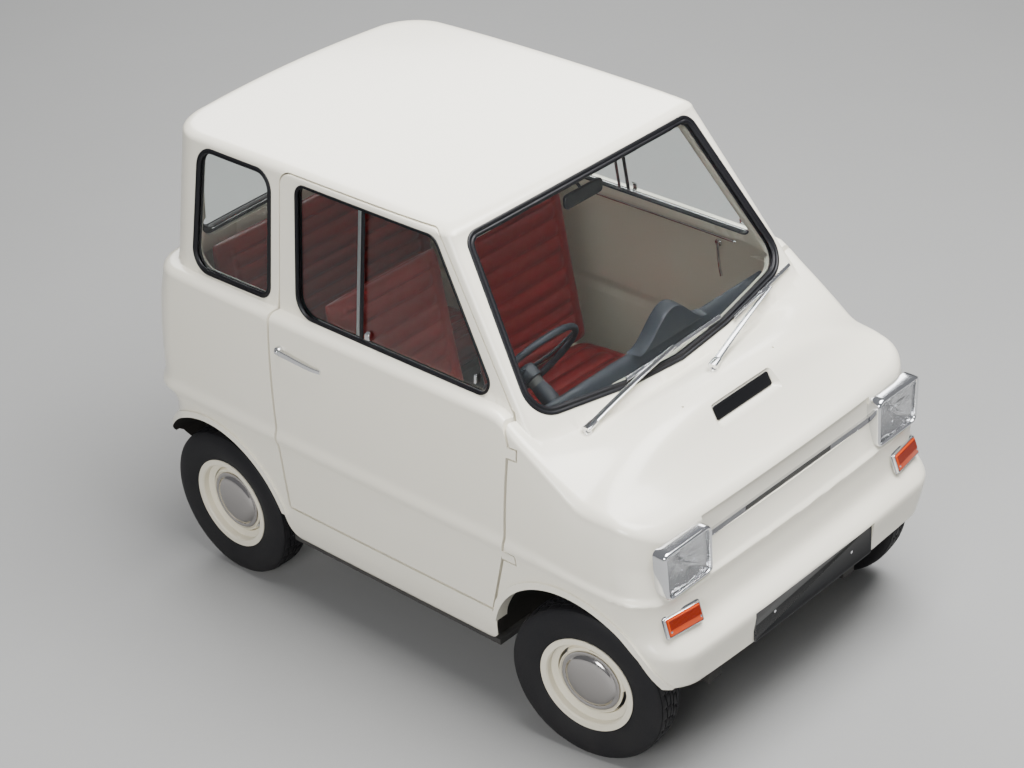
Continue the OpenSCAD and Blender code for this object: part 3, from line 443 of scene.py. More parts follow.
def cabin_rings(t=0, fine=True):
    steps = FINE if fine else PLAIN
    drop = t * ROOF_WALL / WALL
    if fine:
        heights = [CABIN_BASE - 60 + (ROOF_EDGE - CABIN_BASE + 60) * i / 12 for i in range(13)]
        rolls = [math.pi / 2 * i / 8 for i in range(1, 8)]
        insets = [ROOF_R + 430 * (i / 14) ** 1.2 for i in range(15)]
    else:
        heights = [CABIN_BASE - 60, 1150, ROOF_EDGE]
        rolls, insets = [math.radians(25), math.radians(75)], [ROOF_R, 110, 240, 400]
    rows = [cabin_ring(z, 0, t, steps) for z in heights]
    for a in rolls:
        ring = cabin_ring(ROOF_EDGE, ROOF_R * (1 - math.cos(a)), t, steps)
        rows.append([(x, y, mix(ROOF_EDGE, roof_z(x, y) - drop, math.sin(a) * 0.985)) for x, y, z in ring])
    for d in insets:
        rows.append([(x, y, roof_z(x, y) - drop) for x, y, z in cabin_ring(ROOF_EDGE, d, t, steps)])
    return rows

# %% The smooth skin
def body_solid(name, t=0, low=None, fine=True):
    """The lower body and the cabin as one solid, set inwards by t and let down to a lower foot."""
    lower = outward(closed_skin(name, lower_rings(t, low, fine)))
    return combine(lower, [outward(closed_skin(name + "_cabin", cabin_rings(t, fine)))], "UNION")

skin = body_solid("skin")
print("outer skin:", triangles(skin), "triangles")

# %% [markdown]
# ## Cutting the openings
# The mouldings have openings with rounded corners for the doors, glass, lamps and wheels. Each opening is a
# prism over an outline, and the prisms are cut out of the smooth shell one after another. After a cut, the
# faces that lie on the smooth surface take their normals from it, so the light runs on evenly past each cut.

# %% Places of the outlines
def side_place(u, v, w):
    return (w, u, v)

def front_place(u, v, w):
    return (u, -w, v)

def on_screen(x, y, z):
    a = math.pi / 2 - RAKE
    return (x, -SCREEN_TOP_Y + y * math.cos(a) - z * math.sin(a), SCREEN_TOP_Z + y * math.sin(a) + z * math.cos(a))

TAIL_MIDDLE_Z = 1180

def on_tail(x, y, z):
    a = math.radians(90 + REAR_LEAN)
    return (-x, rear_y(TAIL_MIDDLE_Z) - CABIN_BOW - (y * math.cos(a) - z * math.sin(a)),
            TAIL_MIDDLE_Z + y * math.sin(a) + z * math.cos(a))

# %% Outlines of the openings
TAIL_FOOT, FOOT_R, TUB_F, TUB_R = 257, 42, 335, 438
AXLE_F, AXLE_R, ARCH_R, ARCH_Z, TYRE_R = -669, 723, 282, 256, 237
GAP, JAMB, SEAL_W, DOOR_SEAL_W, SCREEN_SEAL_W, SEAL_DEEP = 5, 20, 16, 9, 24, 22
SCREEN_CORNERS = [[413, -41, 45], [432, -427, 90], [200, -516, 40], [0, -531, 40]]
SCREEN_CORNERS = SCREEN_CORNERS + [[-x, y, r] for x, y, r in SCREEN_CORNERS]
TAIL_CORNERS = [[352, 128, 60], [358, -118, 60], [-352, 128, 60], [-358, -118, 60]]
DOOR_GLASS = [[316, 1350, 24], [-148, 1338, 36], [-345, 1040, 30], [276, 1070, 58]]
QUARTER = [[503, 1326, 44], [690, 1318, 50], [710, 1072, 50], [486, 1052, 26]]
HINGES = [(HALF_W - 11, -490, 580), (HALF_W - 22, -506, 902)]
SHUT = [[404, BELT_Z], [-461, BELT_Z - 16], [-480, 920], [-456, CREASE_Z], [-385, 374], [404, 374]]
LAMP_CORNERS = [[-73, 52, 22], [79, 58, 16], [-79, -58, 16], [63, -48, 26]]
LAMP_X, LAMP_Y, LAMP_Z = 454, -912, 674

def circle_points(u, v, r, steps=96):
    angles = [2 * math.pi * i / steps for i in range(steps)]
    return [[u + r * math.cos(a), v + r * math.sin(a)] for a in angles]

def box_solid(name, low, high):
    points = [[x, y, z] for x in (low[0], high[0]) for y in (low[1], high[1]) for z in (low[2], high[2])]
    faces = [(0, 1, 3, 2), (4, 6, 7, 5), (0, 4, 5, 1), (2, 3, 7, 6), (0, 2, 6, 4), (1, 5, 7, 3)]
    return outward(mesh_object(name, points, faces))

def door_shape(grow, a=400, b=700, inset=0):
    """The door's outline as a solid across the car; inset moves the front edge of its upper part back."""
    upper = [[372, 1362, 40], [-161, 1362, 40], SHUT[0] + [8], SHUT[1] + [8]]
    upper = [[u + (inset if u < 0 else 0), v, r] for u, v, r in upper]
    middle = [[u, v, 8] for u, v in SHUT[:4]] + [[404, CREASE_Z, 8]]
    lower = [[u, v, 8] for u, v in SHUT[3:]] + [[404, CREASE_Z, 8]]
    parts = [prism("door", hull_outline(part, grow, 32), side_place, a, b) for part in (upper, middle, lower)]
    return combine(parts[0], parts[1:], "UNION")

# %% Shapes of the doors and lamps
def side_zone():
    """The outer part of both sides, from the sill to the roof."""
    shape = [[548, 0], [700, 0], [700, 1500], [cabin_half(1500) - 60, 1500],
             [cabin_half(BELT_Z) - 60, BELT_Z - 50], [548, BELT_Z - 60]]
    return prism("zone", shape, lambda u, v, w: (u, w, v), -1000, 1000)

def tab_box(hinge, grow):
    y, z = hinge[1], hinge[2]
    return box_solid("tab", (548, y - 9 - grow, z - 16.5 - grow), (700, y + 40, z + 16.5 + grow))

def door_prism(grow, tab_grow):
    shape = combine(door_shape(grow), [tab_box(h, tab_grow) for h in HINGES], "UNION")
    return combine(shape, [side_zone()], "INTERSECT")

def lamp_outline(grow=0):
    return hull_outline(LAMP_CORNERS, grow, 32)

# %% [markdown]
# ## Normals that follow the skin
# A cut leaves long thin faces beside an opening, and shading them from their own corners would show dents
# that the moulding doesn't have. So the corners that lie on the smooth skin take its normals, mixed from the
# nearest points of the skin, and a cut panel shines like the uncut one.

# %% Normals that follow the skin
def follow(obj, smooth, reach=0.35 * MM, angle=34):
    """Corners on the smooth surface take its normals; the rest are shaded by angle."""
    mesh = obj.data
    shade(obj, angle)
    source = smooth.data
    tree = BVHTree.FromPolygons([v.co for v in source.vertices], [tuple(p.vertices) for p in source.polygons])
    vertex_normals = [v.vector.copy() for v in source.vertex_normals]
    spots = [v.co for v in source.vertices]
    members = [tuple(p.vertices) for p in source.polygons]
    normals = [n.vector.copy() for n in mesh.corner_normals]
    taken = 0
    for face in mesh.polygons:
        for k in face.loop_indices:
            co = mesh.vertices[mesh.loops[k].vertex_index].co
            _, normal, index, distance = tree.find_nearest(co)
            if distance is None or distance > reach or normal.dot(face.normal) < 0.8:
                continue
            total = Vector()
            for v in members[index]:
                total += vertex_normals[v] / ((spots[v] - co).length_squared + 1e-10)
            normals[k] = total.normalized()
            taken += 1
    mesh.normals_split_custom_set(normals)
    return taken

skin.data.shade_smooth()

# %% [markdown]
# ## The body shell
# The shell is as thick as the whole wall of the real car, which has an outer and an inner moulding. The wheel
# arches have a tub behind them and a rolled lip round them, and the bonnet has a shallow seat for a plain
# dark plate. A cutter is made for each opening, and one call then takes them all out of the skin.

# %% Wheel arches
def arch_cutter(y, side):
    x0, x1 = sorted((0, side * 700))
    round_part = prism("arch", circle_points(y, ARCH_Z, ARCH_R), side_place, x0, x1)
    low_part = box_solid("arch", (x0, y - ARCH_R, ARCH_Z - 400), (x1, y + ARCH_R, ARCH_Z))
    cutter = combine(round_part, [low_part], "UNION")
    keep = box_solid("keep", (-800, -HALF_L - 50, -300), (800, AXLE_R + TAIL_FOOT, 900))
    return combine(cutter, [keep], "INTERSECT")

def foot_cutter(edge, way, side):
    """What a rounded corner takes off at the foot of an arch: a square less a circle."""
    a, b = sorted((edge, edge + way * FOOT_R))
    x0, x1 = sorted((side * 452, side * 700))
    corner = box_solid("corner", (x0, a - 0.5, SILL_Z - 20), (x1, b + 0.5, SILL_Z + FOOT_R))
    circle = circle_points(edge + way * FOOT_R, SILL_Z + FOOT_R, FOOT_R, 96)
    return combine(corner, [prism("round", circle, side_place, x0 - 5, x1 + 5)], "DIFFERENCE")

def ring_solid(y, low_r, high_r, a, b):
    ring = prism("ring", circle_points(y, ARCH_Z, high_r), side_place, a, b)
    bore = prism("bore", circle_points(y, ARCH_Z, low_r), side_place, a - 5, b + 5)
    return combine(ring, [bore], "DIFFERENCE")

TUB_WALL, LIP_H, LIP_OUT = 10, 20, 7

def tub(y, x):
    """The box round a wheel, with its flat wall at x and a hole for the axle."""
    shell = ring_solid(y, ARCH_R, ARCH_R + TUB_WALL, x - TUB_WALL, HALF_W)
    disc = prism("disc", circle_points(y, ARCH_Z, ARCH_R + TUB_WALL), side_place, x - TUB_WALL, x)
    skirt = box_solid("skirt", (x - TUB_WALL, y - ARCH_R - TUB_WALL, SILL_Z), (x, y + ARCH_R + TUB_WALL, ARCH_Z))
    shape = combine(shell, [disc, skirt], "UNION")
    shape = combine(shape, [box_solid("keep", (0, y - 400, SILL_Z), (HALF_W, y + 400, 900))], "INTERSECT")
    return combine(shape, [prism("axle", circle_points(y, TYRE_R, 78), side_place, x - 40, x + 20)], "DIFFERENCE")

def lip_rings():
    """The rolled lips: rings round the arches that stand a little proud of the skin."""
    rings = []
    for y in (AXLE_F, AXLE_R):
        for side in (1, -1):
            rings.append(ring_solid(y, ARCH_R - 0.5, ARCH_R + LIP_H, *sorted((side * 450, side * 700))))
    lips = combine(rings[0], rings[1:], "UNION")
    keep = box_solid("keep", (-HALF_W - 20, -HALF_L + 45, 330), (HALF_W + 20, HALF_L - 45, 730))
    lips = combine(lips, [keep], "INTERSECT")
    lips = combine(lips, [body_solid("lip_skin", -LIP_OUT)], "INTERSECT")
    return combine(lips, [body_solid("lip_core", WALL, SILL_Z - 60, False)], "DIFFERENCE")

# %% Seats for the small pieces
def turned(origin, turn_z, tilt_x):
    """Local x across, y up, z out of the car, as the frame's lamps are set."""
    return (Matrix.Translation(Vector(origin) * MM) @ Matrix.Rotation(math.radians(turn_z), 4, "Z")
            @ Matrix.Rotation(math.radians(tilt_x), 4, "X"))

BONNET_SEAT = turned((0, -772, 884), 0, 62)
INDICATOR_PLACE = turned((485, -HALF_L + 66, 519), 8, 72)

def small_seats():
    plate_seat = rounded_block("plate_seat", 236, 44, [(0, -6), (25, 20)], 5, 32)
    plate_seat.data.transform(BONNET_SEAT)
    lamp = rounded_block("indicator_seat", 122.4, 56.4, [(0, -6), (0, 34)], 4, 32)
    lamp.data.transform(INDICATOR_PLACE)
    jets = [prism("jet", circle_points(x, -723, 3.2, 20), lambda u, v, w: (u, v, w), 915, 960)
            for x in (190, -190)]
    return [plate_seat, lamp, mirrored(lamp)] + jets

# %% Cutters for the openings
def side_cutters():
    """The seat of a door, the way in behind it and the rear side window, on both sides."""
    recess = combine(door_prism(0, GAP / 2), [body_solid("seat", DOOR_WALL + GAP, SILL_Z - 60, False)], "DIFFERENCE")
    way = combine(door_shape(-JAMB, inset=46), [side_zone()], "INTERSECT")
    quarter = prism("quarter", hull_outline(QUARTER, SEAL_W), side_place, 400, 700)
    sides = [recess, way, quarter]
    return sides + [mirrored(s) for s in sides]

def end_cutters():
    """The windscreen, the rear window, the sunk panel of the nose and the seats of both plates."""
    return [prism("screen", hull_outline(SCREEN_CORNERS), on_screen, -SEAL_DEEP, 98),
            prism("screen", hull_outline(SCREEN_CORNERS, -SCREEN_SEAL_W), on_screen, -90, 30),
            prism("tail", hull_outline(TAIL_CORNERS), on_tail, -SEAL_DEEP, 98),
            prism("tail", hull_outline(TAIL_CORNERS, -SCREEN_SEAL_W), on_tail, -90, 30),
            box_solid("sunk", (-360, -HALF_L - 50, 676), (360, -HALF_L + 104, 756)),
            box_solid("plate", (-262.5, -HALF_L - 25, 325), (262.5, -HALF_L + 15, 435)),
            box_solid("plate", (-262.5, HALF_L - 36, 648), (262.5, HALF_L + 24, 752))]

def lamp_cutters():
    cuts = []
    for side in (1, -1):
        outline = [[side * LAMP_X + side * u, LAMP_Z + v] for u, v in lamp_outline()]
        cuts.append(prism("lamp", outline, front_place, 912, 992))
        x0, x1 = sorted((side * 432, side * 508))
        cuts.append(box_solid("tail_lamp", (x0, HALF_L - 62, 635), (x1, HALF_L - 20, 765)))
    return cuts

# %% Body shell
def firewall():
    wall = box_solid("firewall", (-HALF_W, -575, SILL_Z), (HALF_W, -561, SILL_Z + 634))
    circle = circle_points(AXLE_F, ARCH_Z, ARCH_R + 5)
    arches = [prism("arch", circle, side_place, *sorted((s * 330, s * 730))) for s in (1, -1)]
    return combine(combine(wall, arches, "DIFFERENCE"), [copy_of(skin)], "INTERSECT")

def make_shell():
    shell = copy_of(skin)
    cuts = [body_solid("core", WALL, SILL_Z - 60, False)]
    cuts += [arch_cutter(y, side) for y in (AXLE_F, AXLE_R) for side in (1, -1)]
    shell = combine(shell, cuts, "DIFFERENCE")
    tubs = [tub(AXLE_F, TUB_F), tub(AXLE_R, TUB_R)]
    tubs += [mirrored(t) for t in tubs]
    tubs = combine(combine(tubs[0], tubs[1:], "UNION"), [copy_of(skin)], "INTERSECT")
    shell = combine(shell, [tubs, lip_rings(), firewall()], "UNION")
    feet = [(AXLE_F - ARCH_R, -1), (AXLE_F + ARCH_R, 1), (AXLE_R - ARCH_R, -1)]
    cuts = side_cutters() + end_cutters() + lamp_cutters()
    cuts += [foot_cutter(edge, way, side) for edge, way in feet for side in (1, -1)]
    shell = combine(shell, cuts + small_seats(), "DIFFERENCE")
    for v in shell.data.vertices:
        v.co.y = max(v.co.y, CAD_BOX[0][1] + 0.0001)
        v.co.z = min(v.co.z, CAD_BOX[1][2] - 0.0001)
    return shell

shell = make_shell()
print("shell corners on the smooth skin:", follow(shell, skin))

# %% [markdown]
# ## Surfaces
# Every surface is procedural. Three effects are shared by all of them, so each is a node group: a fine grain
# that also gives a height, slow variation of the colour over a large moulding, and dust that settles on what
# faces up and on what is near the ground. Each material then sets its own shader with constant values.

# %% Shared effects
def new_group(name, inputs, outputs):
    group = bpy.data.node_groups.new(name, "ShaderNodeTree")
    for label, kind, value in inputs:
        socket = group.interface.new_socket(name=label, in_out="INPUT", socket_type=kind)
        if value is not None:
            socket.default_value = value
    for label, kind in outputs:
        group.interface.new_socket(name=label, in_out="OUTPUT", socket_type=kind)
    return group, group.nodes.new("NodeGroupInput"), group.nodes.new("NodeGroupOutput")

# %% Grain
def group_grain():
    """Small cells times noise: a height for the bump, and a mask that varies the roughness."""
    group, start, end = new_group(
        "fine_grain", [("Vector", "NodeSocketVector", None), ("Scale", "NodeSocketFloat", 300.0)],
        [("Mask", "NodeSocketFloat"), ("Height", "NodeSocketFloat")])
    cells = group.nodes.new("ShaderNodeTexVoronoi")
    cells.feature = "F1"
    noise = group.nodes.new("ShaderNodeTexNoise")
    noise.inputs["Detail"].default_value = 1
    both = group.nodes.new("ShaderNodeMath")
    both.operation = "MULTIPLY"
    for node in (cells, noise):
        group.links.new(start.outputs["Vector"], node.inputs["Vector"])
        group.links.new(start.outputs["Scale"], node.inputs["Scale"])
    group.links.new(cells.outputs["Distance"], both.inputs[0])
    group.links.new(noise.outputs["Fac"], both.inputs[1])
    group.links.new(noise.outputs["Fac"], end.inputs["Mask"])
    group.links.new(both.outputs[0], end.inputs["Height"])
    return group

# %% Slow variation
def group_variation():
    """A blend of two near colours that changes slowly over the piece."""
    group, start, end = new_group(
        "slow_variation", [("Vector", "NodeSocketVector", None), ("Colour", "NodeSocketColor", None),
                           ("Other", "NodeSocketColor", None), ("Amount", "NodeSocketFloat", 0.5)],
        [("Colour", "NodeSocketColor"), ("Mask", "NodeSocketFloat")])
    noise = group.nodes.new("ShaderNodeTexNoise")
    noise.inputs["Scale"].default_value = 2.6
    noise.inputs["Detail"].default_value = 2
    scale = group.nodes.new("ShaderNodeMath")
    scale.operation = "MULTIPLY"
    blend = group.nodes.new("ShaderNodeMix")
    blend.data_type = "RGBA"
    group.links.new(start.outputs["Vector"], noise.inputs["Vector"])
    group.links.new(noise.outputs["Fac"], scale.inputs[0])
    group.links.new(start.outputs["Amount"], scale.inputs[1])
    group.links.new(scale.outputs[0], blend.inputs["Factor"])
    group.links.new(start.outputs["Colour"], blend.inputs["A"])
    group.links.new(start.outputs["Other"], blend.inputs["B"])
    group.links.new(blend.outputs["Result"], end.inputs["Colour"])
    group.links.new(scale.outputs[0], end.inputs["Mask"])
    return group

# %% Settled dust
def group_dust():
    """Dust on what faces up, and on what is lower than the height Top above the ground."""
    group, start, end = new_group(
        "settled_dust", [("Colour", "NodeSocketColor", None), ("Dust", "NodeSocketColor", (0.42, 0.38, 0.31, 1)),
                         ("Amount", "NodeSocketFloat", 0.2), ("Top", "NodeSocketFloat", 0.5)],
        [("Colour", "NodeSocketColor"), ("Mask", "NodeSocketFloat")])
    geometry = group.nodes.new("ShaderNodeNewGeometry")
    place, facing = group.nodes.new("ShaderNodeSeparateXYZ"), group.nodes.new("ShaderNodeSeparateXYZ")
    low, noise = group.nodes.new("ShaderNodeMapRange"), group.nodes.new("ShaderNodeTexNoise")
    up, total, share = (group.nodes.new("ShaderNodeMath") for _ in range(3))
    blend = group.nodes.new("ShaderNodeMix")
    blend.data_type = "RGBA"
    noise.inputs["Scale"].default_value = 14
    low.inputs["To Min"].default_value = 1
    low.inputs["To Max"].default_value = 0
    up.operation, up.use_clamp = "MULTIPLY", True
    total.operation, total.use_clamp = "MAXIMUM", True
    share.operation = "MULTIPLY"
    amount = group.nodes.new("ShaderNodeMath")
    amount.operation, amount.use_clamp = "MULTIPLY", True
    group.links.new(geometry.outputs["Position"], place.inputs[0])
    group.links.new(geometry.outputs["Normal"], facing.inputs[0])
    group.links.new(geometry.outputs["Position"], noise.inputs["Vector"])
    group.links.new(place.outputs["Z"], low.inputs["Value"])
    group.links.new(start.outputs["Top"], low.inputs["From Max"])
    group.links.new(facing.outputs["Z"], up.inputs[0])
    up.inputs[1].default_value = 0.45
    group.links.new(up.outputs[0], total.inputs[0])
    group.links.new(low.outputs["Result"], total.inputs[1])
    group.links.new(total.outputs[0], share.inputs[0])
    group.links.new(noise.outputs["Fac"], share.inputs[1])
    group.links.new(share.outputs[0], amount.inputs[0])
    group.links.new(start.outputs["Amount"], amount.inputs[1])
    group.links.new(amount.outputs[0], blend.inputs["Factor"])
    group.links.new(start.outputs["Colour"], blend.inputs["A"])
    group.links.new(start.outputs["Dust"], blend.inputs["B"])
    group.links.new(blend.outputs["Result"], end.inputs["Colour"])
    group.links.new(amount.outputs[0], end.inputs["Mask"])
    return group

GRAIN, VARIATION, DUST = group_grain(), group_variation(), group_dust()
print("shared effects:", GRAIN.name, VARIATION.name, DUST.name)

# %% [markdown]
# ## Finishes
# The body is cream gel coat with a soft shine, the trim is bright or dull metal, and the cabin has grained
# vinyl in oxblood red and blue-black. Each finish is one Principled shader with its own two colours and
# roughness, and the shared groups add the small differences that keep it from looking like flat paint.

# %% A finish from its colours
def surface(name, colour, other=None, rough=0.5, metal=0.0, coat=0.0, grain=0.0, scale=300.0,
            dust=0.0, vary=0.5, **more):
    made = bpy.data.materials.new(name)
    made.use_nodes = True
    tree = made.node_tree
    shader = tree.nodes["Principled BSDF"]
    shader.inputs["Roughness"].default_value = rough
    shader.inputs["Metallic"].default_value = metal
    shader.inputs["Coat Weight"].default_value = coat
    for key, value in more.items():
        shader.inputs[key.replace("_", " ")].default_value = value
    where = tree.nodes.new("ShaderNodeTexCoord").outputs["Object"]
    varied = tree.nodes.new("ShaderNodeGroup")
    varied.node_tree = VARIATION
    varied.inputs["Colour"].default_value = (*colour, 1)
    varied.inputs["Other"].default_value = (*(other or [c * 0.86 for c in colour]), 1)
    varied.inputs["Amount"].default_value = vary
    tree.links.new(where, varied.inputs["Vector"])
    last = varied.outputs["Colour"]
    if dust:
        dusty = tree.nodes.new("ShaderNodeGroup")
        dusty.node_tree = DUST
        dusty.inputs["Amount"].default_value = dust
        tree.links.new(last, dusty.inputs["Colour"])
        last = dusty.outputs["Colour"]
    tree.links.new(last, shader.inputs["Base Color"])
    if grain:
        fine = tree.nodes.new("ShaderNodeGroup")
        fine.node_tree = GRAIN
        fine.inputs["Scale"].default_value = scale
        tree.links.new(where, fine.inputs["Vector"])
        bump = tree.nodes.new("ShaderNodeBump")
        bump.inputs["Strength"].default_value = grain
        bump.inputs["Distance"].default_value = 0.0006
        tree.links.new(fine.outputs["Height"], bump.inputs["Height"])
        tree.links.new(bump.outputs["Normal"], shader.inputs["Normal"])
        spread_out = tree.nodes.new("ShaderNodeMapRange")
        spread_out.inputs["To Min"].default_value = max(0.02, rough - 0.06)
        spread_out.inputs["To Max"].default_value = min(1.0, rough + 0.08)
        tree.links.new(fine.outputs["Mask"], spread_out.inputs["Value"])
        tree.links.new(spread_out.outputs["Result"], shader.inputs["Roughness"])
    return made

# %% Clear glass
def clear_surface(name, colour, rough=0.02):
    made = bpy.data.materials.new(name)
    made.use_nodes = True
    tree = made.node_tree
    shader = tree.nodes["Principled BSDF"]
    shader.inputs["Metallic"].default_value = 0
    shader.inputs["Transmission Weight"].default_value = 1
    shader.inputs["Roughness"].default_value = rough
    shader.inputs["IOR"].default_value = 1.46
    tint = tree.nodes.new("ShaderNodeGroup")
    tint.node_tree = VARIATION
    tint.inputs["Colour"].default_value = (*colour, 1)
    tint.inputs["Other"].default_value = (*[c * 0.97 for c in colour], 1)
    where = tree.nodes.new("ShaderNodeTexCoord").outputs["Object"]
    tree.links.new(where, tint.inputs["Vector"])
    tree.links.new(tint.outputs["Colour"], shader.inputs["Base Color"])
    return made

# %% The car's finishes
GEL = surface("cream_gel_coat", (0.88, 0.84, 0.72), (0.85, 0.81, 0.68), rough=0.3, coat=0.35,
              grain=0.03, scale=500, dust=0.08, Coat_Roughness=0.12)
LINING = surface("cream_lining", (0.76, 0.72, 0.6), (0.68, 0.64, 0.53), rough=0.6,
                 grain=0.12, scale=380, dust=0.1)
RUBBER = surface("black_rubber", (0.004, 0.004, 0.006), (0.008, 0.008, 0.01), rough=0.42,
                 grain=0.12, scale=420, Specular_IOR_Level=0.3)
TYRE = surface("tyre_rubber", (0.005, 0.005, 0.007), (0.01, 0.01, 0.012), rough=0.62,
               grain=0.25, scale=260, dust=0.03, Specular_IOR_Level=0.3)
CHROME = surface("bright_chrome", (0.78, 0.79, 0.81), (0.7, 0.7, 0.71), rough=0.09, metal=1.0,
                 grain=0.02, scale=240)
SATIN = surface("satin_metal", (0.55, 0.56, 0.58), (0.42, 0.42, 0.43), rough=0.3, metal=1.0,
                grain=0.08, scale=300)
GLASS = clear_surface("clear_glass", (0.93, 0.96, 0.95))
LAMP_GLASS = clear_surface("ribbed_lamp_glass", (0.97, 0.98, 0.98), 0.03)
LAMP_GLASS.node_tree.nodes["Principled BSDF"].inputs["Alpha"].default_value = 0.3
REFLECTOR = surface("lamp_reflector", (0.62, 0.63, 0.65), (0.5, 0.5, 0.52), rough=0.07, metal=1.0)
DULL = surface("dull_chrome", (0.47, 0.45, 0.44), (0.4, 0.385, 0.375), rough=0.12, metal=1.0,
               grain=0.04, scale=260)
GUNMETAL = surface("gunmetal_bar", (0.36, 0.36, 0.37), (0.3, 0.3, 0.31), rough=0.4, metal=0.6,
                   grain=0.05, scale=300)
# Painted shade: a near-black finish for the faces inside the wheel arches, standing for the shade there.
ARCH_SHADE = surface("painted_arch_shade", (0.012, 0.011, 0.01), (0.02, 0.018, 0.015), rough=0.85,
                    grain=0.5, scale=160, dust=0.06, Specular_IOR_Level=0.25)
AMBER = surface("amber_lens", (0.62, 0.06, 0.001), (0.52, 0.045, 0.001), rough=0.2, coat=0.2,
                grain=0.05, scale=200)
# Painted shade: a darker copy of the amber lens colour, used for the ribs of the indicator lens.
SHADED_AMBER = surface("shaded_amber_ribs", (0.28, 0.018, 0.001), (0.22, 0.014, 0.001), rough=0.22, coat=0.2,
                     grain=0.05, scale=200)
RED = surface("red_lens", (0.42, 0.012, 0.01), (0.3, 0.008, 0.008), rough=0.16, coat=0.6,
              grain=0.05, scale=200)
ENAMEL = surface("black_enamel", (0.004, 0.004, 0.005), (0.008, 0.008, 0.009), rough=0.3, coat=0.2,
                 grain=0.04, scale=300, Specular_IOR_Level=0.35)
VINYL = surface("grained_black_vinyl", (0.026, 0.031, 0.043), (0.036, 0.041, 0.054), rough=0.5,
                grain=0.2, scale=520)
OXBLOOD = surface("oxblood_vinyl", (0.27, 0.012, 0.012), (0.2, 0.009, 0.009), rough=0.42, coat=0.1,
                  grain=0.1, scale=460)
PIPING = surface("oxblood_piping", (0.14, 0.008, 0.01), (0.1, 0.007, 0.008), rough=0.38,
                 grain=0.05, scale=300)
CARPET = surface("black_carpet", (0.02, 0.02, 0.022), (0.045, 0.043, 0.04), rough=0.95,
                 grain=0.9, scale=700, dust=0.15)
STEEL = surface("painted_steel", (0.05, 0.052, 0.055), (0.1, 0.095, 0.09), rough=0.5,
                grain=0.15, scale=240, dust=0.3)
GREY = surface("grey_case", (0.16, 0.165, 0.17), (0.11, 0.11, 0.115), rough=0.5,
               grain=0.2, scale=300, dust=0.15)
RIM = surface("cream_wheel_enamel", (0.82, 0.77, 0.62), (0.76, 0.7, 0.55), rough=0.34, coat=0.3,
              grain=0.04, scale=300, dust=0.15)
print("materials:", len(bpy.data.materials))

# %% [markdown]
# ## Pieces shown as the frame has them
# The glass, the floor, the running gear and the wheels already have the right shape as solids. They stay as
# they are and only get a finish, which keeps their fit with the pieces round them exact.

# %% Finish of the carried-over solids
CORNERS = ("front_left", "front_right", "rear_left", "rear_right")
KEPT = {"platform": CARPET, "windscreen": GLASS, "rear_windows": GLASS, "door_glass_left": GLASS,
        "door_glass_right": GLASS, "steering_column": STEEL, "front_crossmember": STEEL, "rear_arms": STEEL,
        "motors": GREY, "batteries": GREY, "knuckle_left": STEEL, "knuckle_right": STEEL}
for corner in CORNERS:
    KEPT["wheel_" + corner] = RIM
for node, material in KEPT.items():
    NODE[node].data.materials.clear()
    NODE[node].data.materials.append(material)
print("frame solids shown with a finish:", len(KEPT))

# %% [markdown]
# ## Inner faces
# The gel coat is only on the outside of a moulding. The cabin side is painted a duller cream, and the faces
# inside the wheel arches are near black, a painted shade for the dark inside of the arches. Each face gets the
# finish of the side that it is on: how deep it lies under the smooth skin tells the two apart.

# %% Finish by depth
LINED_DEPTH, DOOR_LINED_DEPTH, ARCH_SHADE_DEPTH, LINING_FRONT_Y = 30, 15, 12, -555
skin_tree = BVHTree.FromPolygons([v.co for v in skin.data.vertices],
                                 [tuple(p.vertices) for p in skin.data.polygons])

def depth_of(face):
    """How deep a face lies under the skin, and 1 where it faces as the skin does, -1 where it faces inwards."""
    place, normal = skin_tree.find_nearest(face.center)[:2]
    return (place - face.center).dot(normal) / MM, face.normal.dot(normal)

def in_arch(spot):
    """True on the wheel's side of a tub, not on the cabin's side of it."""
    x, y, z = (c / MM for c in spot)
    tubs = ((AXLE_F, TUB_F), (AXLE_R, TUB_R))
    return any(abs(x) > tub_x - 4 and math.hypot(y - axle, z - ARCH_Z) < ARCH_R + 4 for axle, tub_x in tubs)

def inner_finish(obj, lining_depth, arches=False):
    """Second slot: lining; third slot: near-black painted shade in the arches."""
    count = [0, 0, 0]
    for face in obj.data.polygons:
        deep, facing = depth_of(face)
        kind = 0
        # Faces inside the arches get the near-black painted shade.
        if arches and (deep > ARCH_SHADE_DEPTH or deep > 2 and facing < -0.5) and in_arch(face.center):
            kind = 2
        elif deep > lining_depth and face.center.y / MM > LINING_FRONT_Y:
            kind = 1
        face.material_index = kind
        count[kind] += 1
    print(obj.name, "faces outside, lined, black_shaded:", count)

finish_piece(shell, "body_skin", "car_body", [GEL, LINING, ARCH_SHADE], ["body_shell"])
inner_finish(shell, LINED_DEPTH, True)

# %% [markdown]
# ## Doors
# Each door is a moulding with a rolled-in edge that shuts against a flange. It is cut out of the same smooth
# skin as the body, so the two surfaces run on evenly, and the gap round it is the one that the frame's door
# has, so it can swing. The left door is made for both sides, and turned over for the right one.

# %% Doors
def handle_recess():
    spots = [[-40, 0, 24], [20, 0, 12], [-12, -8, 14]]
    outline = hull_outline([[279 - 14 - u, 914 + v, r] for u, v, r in spots], 0, 48)
    return prism("recess", outline, side_place, HALF_W - 16, HALF_W + 20)

